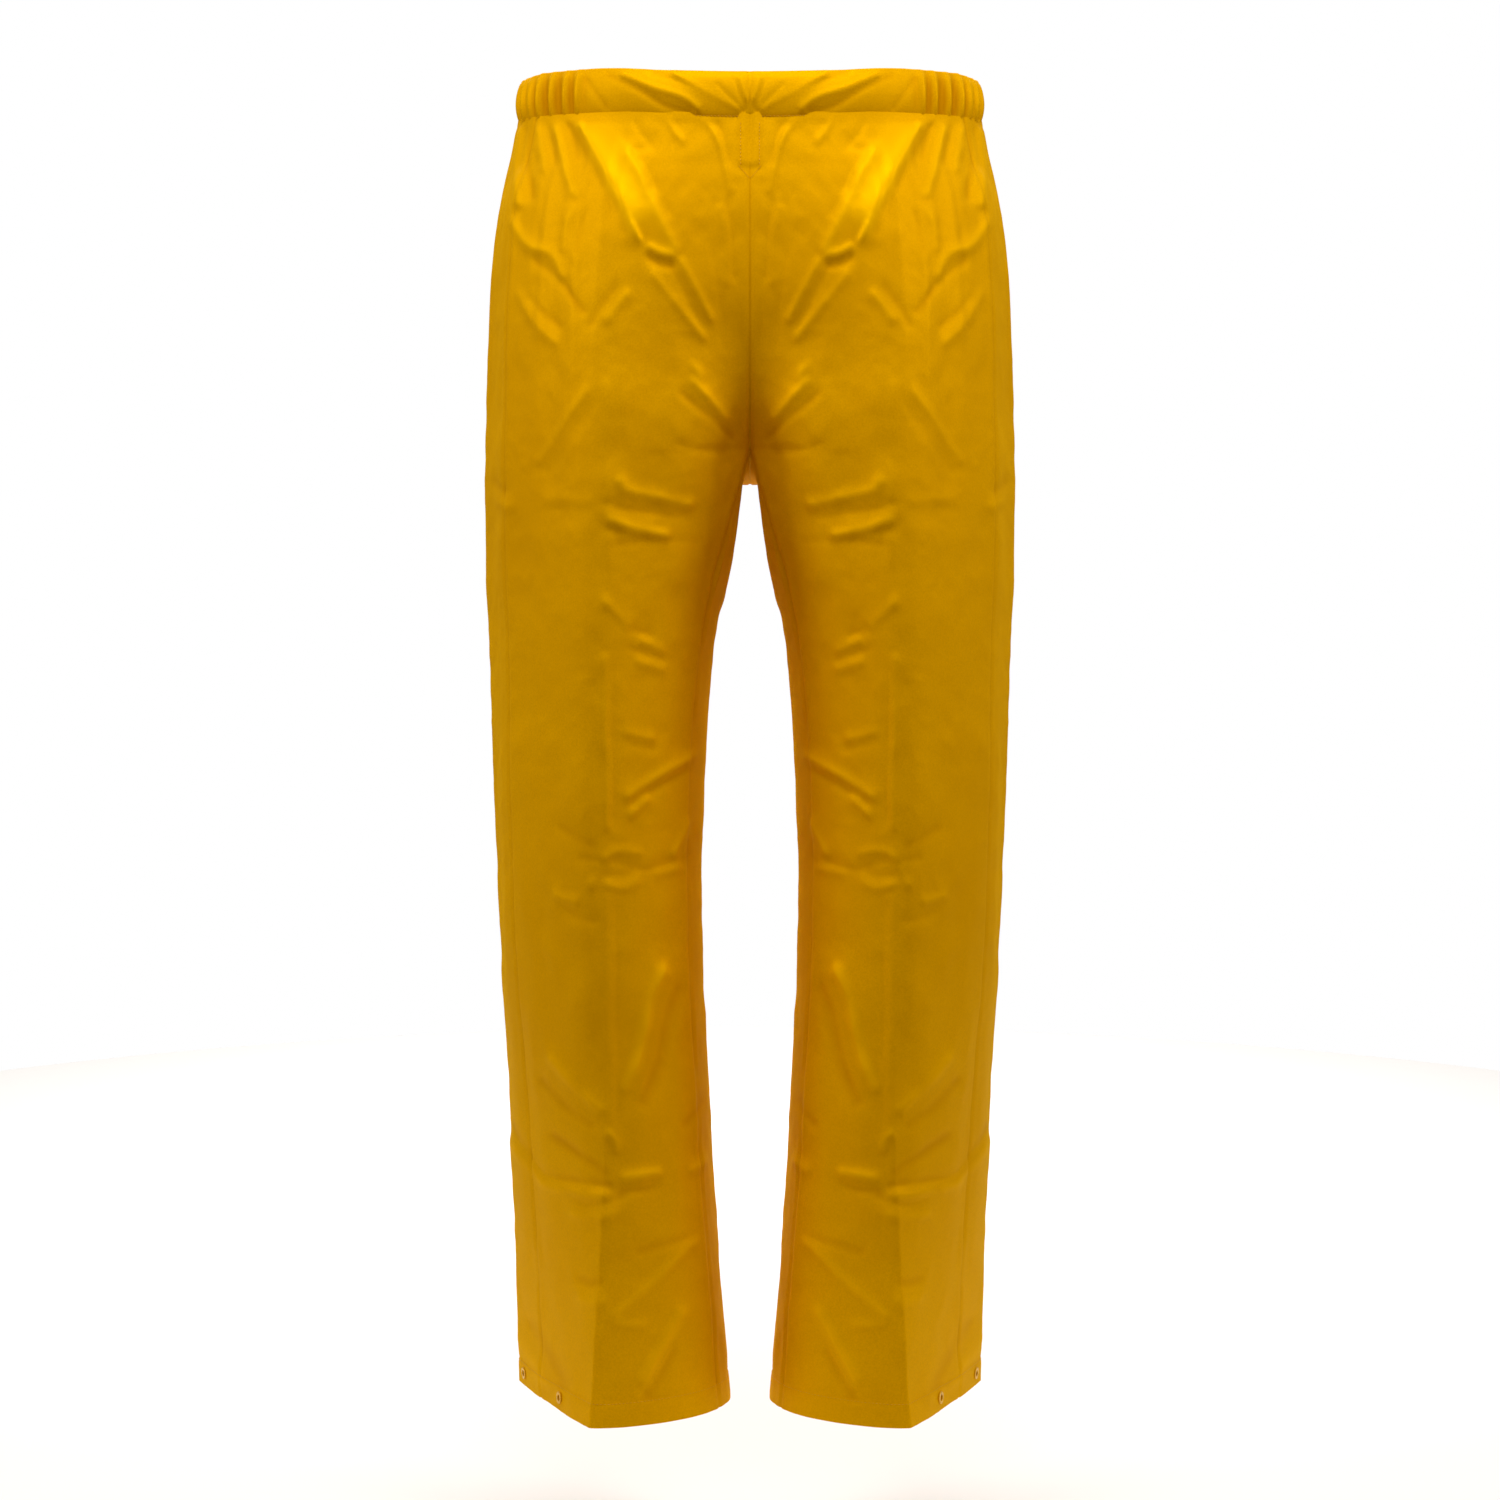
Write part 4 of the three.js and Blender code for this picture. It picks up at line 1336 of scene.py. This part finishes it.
def stitch_row(name, points, normals, body, mirror=False, closeness=1.0):
    """Sewing thread along a line on the cloth: small humps, each sunk into the cloth at its ends."""
    pitch = sizes().stitch_length / MM / closeness
    travel = lengths_along(points)
    count = int(travel[-1] / pitch)
    starts = (np.arange(count) + 0.14) * pitch
    along = starts[:, None] + STITCH_RINGS[None] * pitch * STITCH_SHARE
    centre = points_along(along, travel, points)
    facing = unit(points_along(along, travel, normals))
    forward = unit(np.gradient(centre, axis=1))
    beside = np.cross(forward, facing)
    radius = sizes().thread_thickness / MM / 2
    angles = np.linspace(0, 2 * math.pi, THREAD_SIDES + 1)[:-1, None]
    ring = np.cos(angles) * beside[:, :, None] + np.sin(angles) * facing[:, :, None]
    middle = centre + facing * (radius * STITCH_LIFT)[:, None]
    verts = middle[:, :, None] + ring * (radius * STITCH_SWELL)[:, None, None]
    number = np.arange(verts[..., 0].size).reshape(verts.shape[:3])
    after = np.roll(number, -1, axis=2)
    corners = (number[:, :-1], after[:, :-1], after[:, 1:], number[:, 1:])
    walls = np.stack(corners, axis=-1).reshape(-1, 4)
    ends = number[:, 0, ::-1].tolist() + number[:, -1].tolist()
    verts = verts.reshape(-1, 3)
    faces = walls.tolist() + ends
    if mirror:
        verts = verts * MIRROR
        faces = [face[::-1] for face in faces]
    mesh = bpy.data.meshes.new(name)
    mesh.from_pydata((verts * MM).tolist(), [], faces)
    mesh.shade_smooth()
    write_places(mesh, verts[:, ::2] * MM)
    piece = put_in_scene(name, mesh)
    piece.data.materials.append(sewing_thread())
    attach(piece, body)


def build_hem_stitches(side):
    """The line of stitches that holds the turned-up hem."""
    grid, points, normals, _ = skin()
    row = grid.row(HEM_DEPTH - HEM_HEIGHT + 2)
    stitch_row(f"{side}_hem_stitching", points[row], normals[row], f"{side}_shin", side == "right")


def build_band_stitches(side):
    """The line of stitches that closes the casing, just above its lower edge."""
    _, rows, normals, _ = band_skin()
    stitch_row(f"{side}_waistband_stitching", rows[1], normals[1], "seat", side == "right")


def line_beside_front_seam(top, bottom, first, last):
    """A line on the skin from one depth to another, at lengths from the centre front seam."""
    grid, points, normals, _ = skin()
    rows = range(grid.row(top), grid.row(bottom) + 1)
    line = []
    facing = []
    for row, offset in zip(rows, np.linspace(first, last, len(rows))):
        found, found_normals, along = unrolled(grid, points, normals, row, "front")
        line.append(points_along(offset, along, found))
        facing.append(points_along(offset, along, found_normals))
    return np.array(line), unit(np.array(facing))


def build_rise_stitches():
    """Two lines beside the centre front seam, and the pointed tack across their lower end."""
    lines = (
        ("rise_stitching", BAND_HEIGHT + 4, FACING_END, (7.5, 7.5), 1),
        ("rise_tack", FACING_END, FACING_END + 10, (9, 0.5), 3),
    )
    for side in SIDES:
        for name, top, bottom, offsets, closeness in lines:
            line, facing = line_beside_front_seam(top, bottom, *offsets)
            stitch_row(f"{side}_{name}", line, facing, "seat", side == "right", closeness)


# ---- Pieces: the press studs ---------------------------------------------------------------------

STUD_HEIGHT = 10  # over the hem's edge, in millimetres
STUD_FROM_SEAM = 40
STUD_SIDES = 40
STUD_LAYERS = 0.9  # room for the turned-up hem behind the panel's own cloth
STUD_PARTS = (
    ("front", "socket_ring", "ring"),
    ("front", "stud_socket", "socket"),
    ("back", "stud_ring", "ring"),
    ("back", "stud_post", "post"),
)
RING_CAP = {"inner_radius": 0.0026, "outer_radius": 0.0049, "height": 0.0011}
SOCKET_CAP = {"inner_radius": 0.0019, "outer_radius": 0.0046, "height": 0.0020}
POST_CAP = {"radius": 0.0046, "height": 0.0009, "boss_radius": 0.0017, "boss_height": 0.0020}


def hem_spot(face):
    """The middle of a press stud on the left hem, and the way out from the cloth there."""
    grid, points, normals, _ = skin()
    row = grid.row(HEM_DEPTH - STUD_HEIGHT)
    along = grid.across[row]
    wanted = -STUD_FROM_SEAM if face == "front" else STUD_FROM_SEAM
    column = int(np.argmin(np.abs(along - wanted)))
    return points[row, column], normals[row, column]


def flat_cylinder(name, radius, height):
    """A disc at the origin, as the start of a stud's part."""
    deselect_all()
    bpy.ops.mesh.primitive_cylinder_add(vertices=STUD_SIDES, radius=radius, depth=height)
    piece = bpy.context.object
    piece.name = name
    return piece


def edit_faces(piece, wanted):
    """Goes into edit mode with only the wanted faces selected."""
    bpy.ops.object.mode_set(mode="EDIT")
    bpy.ops.mesh.select_mode(type="FACE")
    bpy.ops.mesh.select_all(action="DESELECT")
    bpy.ops.object.mode_set(mode="OBJECT")
    for face in piece.data.polygons:
        face.select = wanted(face)
    bpy.ops.object.mode_set(mode="EDIT")


def washer(name, inner_radius, outer_radius, height):
    """A flat ring at the origin: both faces of a disc are inset, and the middle is taken out."""
    piece = flat_cylinder(name, outer_radius, height)
    edit_faces(piece, lambda face: abs(face.normal.z) > 0.9)
    bpy.ops.mesh.inset(thickness=outer_radius - inner_radius)
    bpy.ops.mesh.bridge_edge_loops()
    bpy.ops.object.mode_set(mode="OBJECT")
    return piece


def rounded(piece, width):
    """Rounds a piece's sharp edges."""
    bevel = piece.modifiers.new("round", "BEVEL")
    bevel.width = width
    bevel.segments = 3
    bevel.limit_method = "ANGLE"
    bevel.angle_limit = math.radians(40)
    bpy.context.view_layer.objects.active = piece
    piece.select_set(True)
    bpy.ops.object.modifier_apply(modifier=bevel.name)
    bpy.ops.object.shade_smooth_by_angle(angle=math.radians(35))


def raised_disc(name, radius, height, boss_radius, boss_height):
    """A disc at the origin with a boss on its middle."""
    piece = flat_cylinder(name, radius, height)
    edit_faces(piece, lambda face: face.normal.z > 0.9)
    bpy.ops.mesh.inset(thickness=radius - boss_radius)
    bpy.ops.mesh.extrude_region_move(TRANSFORM_OT_translate={"value": (0, 0, boss_height)})
    bpy.ops.transform.resize(value=(0.86, 0.86, 1))
    bpy.ops.object.mode_set(mode="OBJECT")
    return piece


def set_on_hem(piece, side, face, lift, outside):
    """Puts a piece that lies flat at the origin onto the hem, its top facing out or in."""
    spot, outwards = hem_spot(face)
    spot = Vector((spot + outwards * lift) * MM)
    direction = Vector(outwards if outside else -outwards)
    if side == "right":
        spot.x = -spot.x
        direction.x = -direction.x
    turn = direction.to_track_quat("Z", "Y").to_matrix().to_4x4()
    piece.data.transform(Matrix.Translation(spot) @ turn)
    piece.data.update()


def build_stud_part(side, face, node, kind):
    """A ring on the outside of the hem, or the socket or the post that it holds inside."""
    name = f"{side}_{node}"
    layers = cloth_layer() + STUD_LAYERS
    if kind == "ring":
        piece = washer(name + "_cap", **RING_CAP)
        rounded(piece, 0.0004)
        set_on_hem(piece, side, face, 0.85, True)
    elif kind == "socket":
        piece = washer(name + "_cap", **SOCKET_CAP)
        rounded(piece, 0.0006)
        set_on_hem(piece, side, face, -layers - 1.2, False)
    else:
        piece = raised_disc(name + "_cap", **POST_CAP)
        rounded(piece, 0.0003)
        set_on_hem(piece, side, face, -layers - 0.6, False)
    finish_piece(piece, (stud_enamel(),), [name])
    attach(piece, f"{side}_shin")


# ---- The stage ----------------------------------------------------------------------------------

EYE = (0, -EYE_DISTANCE * MM, -EYE_DEPTH * MM)
LENS = 54.14
FLOOR_LEVEL = CAD_BOX[0].z - 0.16
FLOOR_RADIUS = 2.1
FLOOR_IN_FRONT = 0.4  # how far the floor comes out in front of the trousers
AMBIENT_LIGHT = (0.26, 0.22, 0.175)
BACKDROP = (1.0, 1.0, 1.0)
LIGHTS = (
    # name, place, what it points at, width and length in metres, watts
    ("key_light", (0, -0.8, 1.15), (0, 0, -0.25), (0.8, 0.4), 17),
    ("left_light", (2.1, -0.7, 1.1), (0.1, 0, -0.3), (0.5, 1.0), 20),
    ("right_light", (-2.1, -0.7, 1.1), (-0.1, 0, -0.3), (0.5, 1.0), 20),
    ("back_light", (0, 2.0, 1.3), (0, 0, -0.5), (1.6, 1.0), 14),
    ("floor_light", (0, 2.9, 1.8), (0, 2.9, -1.2), (3.4, 3.4), 125),
)


def build_floor():
    """A pale round floor that stays clear of the hems."""
    deselect_all()
    middle = (0, FLOOR_RADIUS - FLOOR_IN_FRONT, FLOOR_LEVEL)
    bpy.ops.mesh.primitive_circle_add(vertices=96, radius=FLOOR_RADIUS, fill_type="NGON", location=middle)
    bpy.ops.object.transform_apply(location=True)
    floor = bpy.context.object
    floor.name = "studio_floor"
    floor.data.materials.append(studio_paint())


def add_light(name, place, target, size, power):
    lamp = bpy.data.lights.new(name, "AREA")
    lamp.shape = "RECTANGLE"
    lamp.size, lamp.size_y = size
    lamp.energy = power
    light = bpy.data.objects.new(name, lamp)
    light.location = place
    aim = Vector(target) - Vector(place)
    light.rotation_euler = aim.to_track_quat("-Z", "Y").to_euler()
    bpy.context.scene.collection.objects.link(light)


def build_lights():
    for light in LIGHTS:
        add_light(*light)


def build_world():
    """Dim warm light from all round, and a white backdrop."""
    world = bpy.data.worlds.new("studio")
    bpy.context.scene.world = world
    world.use_nodes = True
    tree = world.node_tree
    background = tree.nodes["Background"]
    seen = tree.nodes.new("ShaderNodeLightPath")
    shade = colour_mix(tree, seen.outputs["Is Camera Ray"], AMBIENT_LIGHT, BACKDROP)
    tree.links.new(shade, background.inputs["Color"])
    background.inputs["Strength"].default_value = 1.0


def build_camera():
    data = bpy.data.cameras.new("camera")
    data.lens = LENS
    data.sensor_width = 36
    camera = bpy.data.objects.new("camera", data)
    camera.location = EYE
    camera.rotation_euler = (math.pi / 2, 0, 0)
    bpy.context.scene.collection.objects.link(camera)
    bpy.context.scene.camera = camera
    bpy.context.scene.view_settings.view_transform = "Standard"


# ---- Settings, operators and panel ---------------------------------------------------------------


class TrousersSizes(bpy.types.PropertyGroup):
    """Sizes that a user would change."""

    cloth_thickness: bpy.props.FloatProperty(
        name="Cloth thickness", description="Coated cloth with its backing", default=0.0006, unit="LENGTH"
    )
    fold_depth: bpy.props.FloatProperty(
        name="Fold depth", description="How strongly folds and creases stand out", default=1.0, min=0.0
    )
    gather_depth: bpy.props.FloatProperty(
        name="Gather depth", description="Height of the waist's ruffles", default=0.0018, unit="LENGTH"
    )
    slack: bpy.props.FloatProperty(
        name="Slack", description="Share by which the cloth is longer than its shape", default=0.01
    )
    stitch_length: bpy.props.FloatProperty(
        name="Stitch length", description="From one stitch to the next", default=0.003, unit="LENGTH"
    )
    thread_thickness: bpy.props.FloatProperty(
        name="Thread thickness", description="Sewing thread", default=0.0005, unit="LENGTH"
    )


def colour_property(name, description, default):
    return bpy.props.FloatVectorProperty(
        name=name, description=description, default=default, subtype="COLOR", size=3, min=0.0, max=1.0
    )


class TrousersColours(bpy.types.PropertyGroup):
    """Colours that a user would change."""

    cloth: colour_property("Cloth", "Coated outer face", (0.87, 0.43, 0.0))
    backing: colour_property("Backing", "Uncoated inner face of the cloth", (0.80, 0.52, 0.12))
    tape: colour_property("Seam tape", "Tape inside the seams", (0.72, 0.62, 0.42))
    elastic: colour_property("Elastic", "Webbing in the waistband", (0.82, 0.80, 0.74))
    label: colour_property("Label", "Blank care label", (0.85, 0.85, 0.83))
    thread: colour_property("Thread", "Sewing thread", (0.80, 0.42, 0.01))
    enamel: colour_property("Enamel", "Painted press studs", (0.84, 0.46, 0.01))
    studio: colour_property("Studio", "Floor", (0.92, 0.92, 0.92))


class TROUSERS_OT_legs(bpy.types.Operator):
    """Makes the front and back panels of both legs."""

    bl_idname = "trousers.legs"
    bl_label = "Legs"

    def execute(self, context):
        for side in SIDES:
            for face in FACES:
                for part in PANEL_NODES:
                    build_panel(side, face, part)
        return {"FINISHED"}


class TROUSERS_OT_waistband(bpy.types.Operator):
    """Makes the gathered waistband and the elastic inside it."""

    bl_idname = "trousers.waistband"
    bl_label = "Waistband"

    def execute(self, context):
        for side in SIDES:
            for face in FACES:
                build_band(side, face)
        build_elastic()
        return {"FINISHED"}


class TROUSERS_OT_tapes(bpy.types.Operator):
    """Makes the tapes inside the seams."""

    bl_idname = "trousers.tapes"
    bl_label = "Seam tapes"

    def execute(self, context):
        for side in SIDES:
            build_leg_tapes(side, "outseam", "side")
            build_leg_tapes(side, "inseam", "inseam")
        for face in FACES:
            build_rise_tape(face)
        return {"FINISHED"}


class TROUSERS_OT_hems(bpy.types.Operator):
    """Makes the turned-up hems."""

    bl_idname = "trousers.hems"
    bl_label = "Hems"

    def execute(self, context):
        for side in SIDES:
            for face in FACES:
                build_hem(side, face)
        return {"FINISHED"}


class TROUSERS_OT_label(bpy.types.Operator):
    """Makes the blank care label."""

    bl_idname = "trousers.label"
    bl_label = "Care label"

    def execute(self, context):
        build_label()
        return {"FINISHED"}


class TROUSERS_OT_stitching(bpy.types.Operator):
    """Sews the waistband, the rise and the hems."""

    bl_idname = "trousers.stitching"
    bl_label = "Stitching"

    def execute(self, context):
        for side in SIDES:
            build_band_stitches(side)
            build_hem_stitches(side)
        build_rise_stitches()
        return {"FINISHED"}


class TROUSERS_OT_studs(bpy.types.Operator):
    """Makes the press studs at the ankles."""

    bl_idname = "trousers.studs"
    bl_label = "Press studs"

    def execute(self, context):
        for side in SIDES:
            for face, node, kind in STUD_PARTS:
                build_stud_part(side, face, node, kind)
        return {"FINISHED"}


class TROUSERS_OT_stage(bpy.types.Operator):
    """Makes the floor, the lights and the camera."""

    bl_idname = "trousers.stage"
    bl_label = "Stage"

    def execute(self, context):
        build_floor()
        build_lights()
        build_world()
        build_camera()
        return {"FINISHED"}


OPERATORS = (
    TROUSERS_OT_legs,
    TROUSERS_OT_waistband,
    TROUSERS_OT_tapes,
    TROUSERS_OT_hems,
    TROUSERS_OT_label,
    TROUSERS_OT_stitching,
    TROUSERS_OT_studs,
    TROUSERS_OT_stage,
)


class TROUSERS_PT_panel(bpy.types.Panel):
    """Lists the sizes, the colours and the pieces."""

    bl_idname = "TROUSERS_PT_panel"
    bl_label = "Over-trousers"
    bl_space_type = "VIEW_3D"
    bl_region_type = "UI"
    bl_category = "Over-trousers"

    def draw(self, context):
        for group in (context.scene.trousers_sizes, context.scene.trousers_colours):
            column = self.layout.column(align=True)
            for name in group.bl_rna.properties.keys():
                if name not in ("rna_type", "name"):
                    column.prop(group, name)
        for operator in OPERATORS:
            self.layout.operator(operator.bl_idname)


CLASSES = (TrousersSizes, TrousersColours, *OPERATORS, TROUSERS_PT_panel)


def register():
    for item in CLASSES:
        bpy.utils.register_class(item)
    bpy.types.Scene.trousers_sizes = bpy.props.PointerProperty(type=TrousersSizes)
    bpy.types.Scene.trousers_colours = bpy.props.PointerProperty(type=TrousersColours)


def unregister():
    del bpy.types.Scene.trousers_colours
    del bpy.types.Scene.trousers_sizes
    for item in reversed(CLASSES):
        bpy.utils.unregister_class(item)


def main():
    register()
    bpy.ops.trousers.legs()
    bpy.ops.trousers.waistband()
    bpy.ops.trousers.tapes()
    bpy.ops.trousers.hems()
    bpy.ops.trousers.label()
    bpy.ops.trousers.stitching()
    bpy.ops.trousers.studs()
    bpy.ops.trousers.stage()


if __name__ == "__main__":
    main()
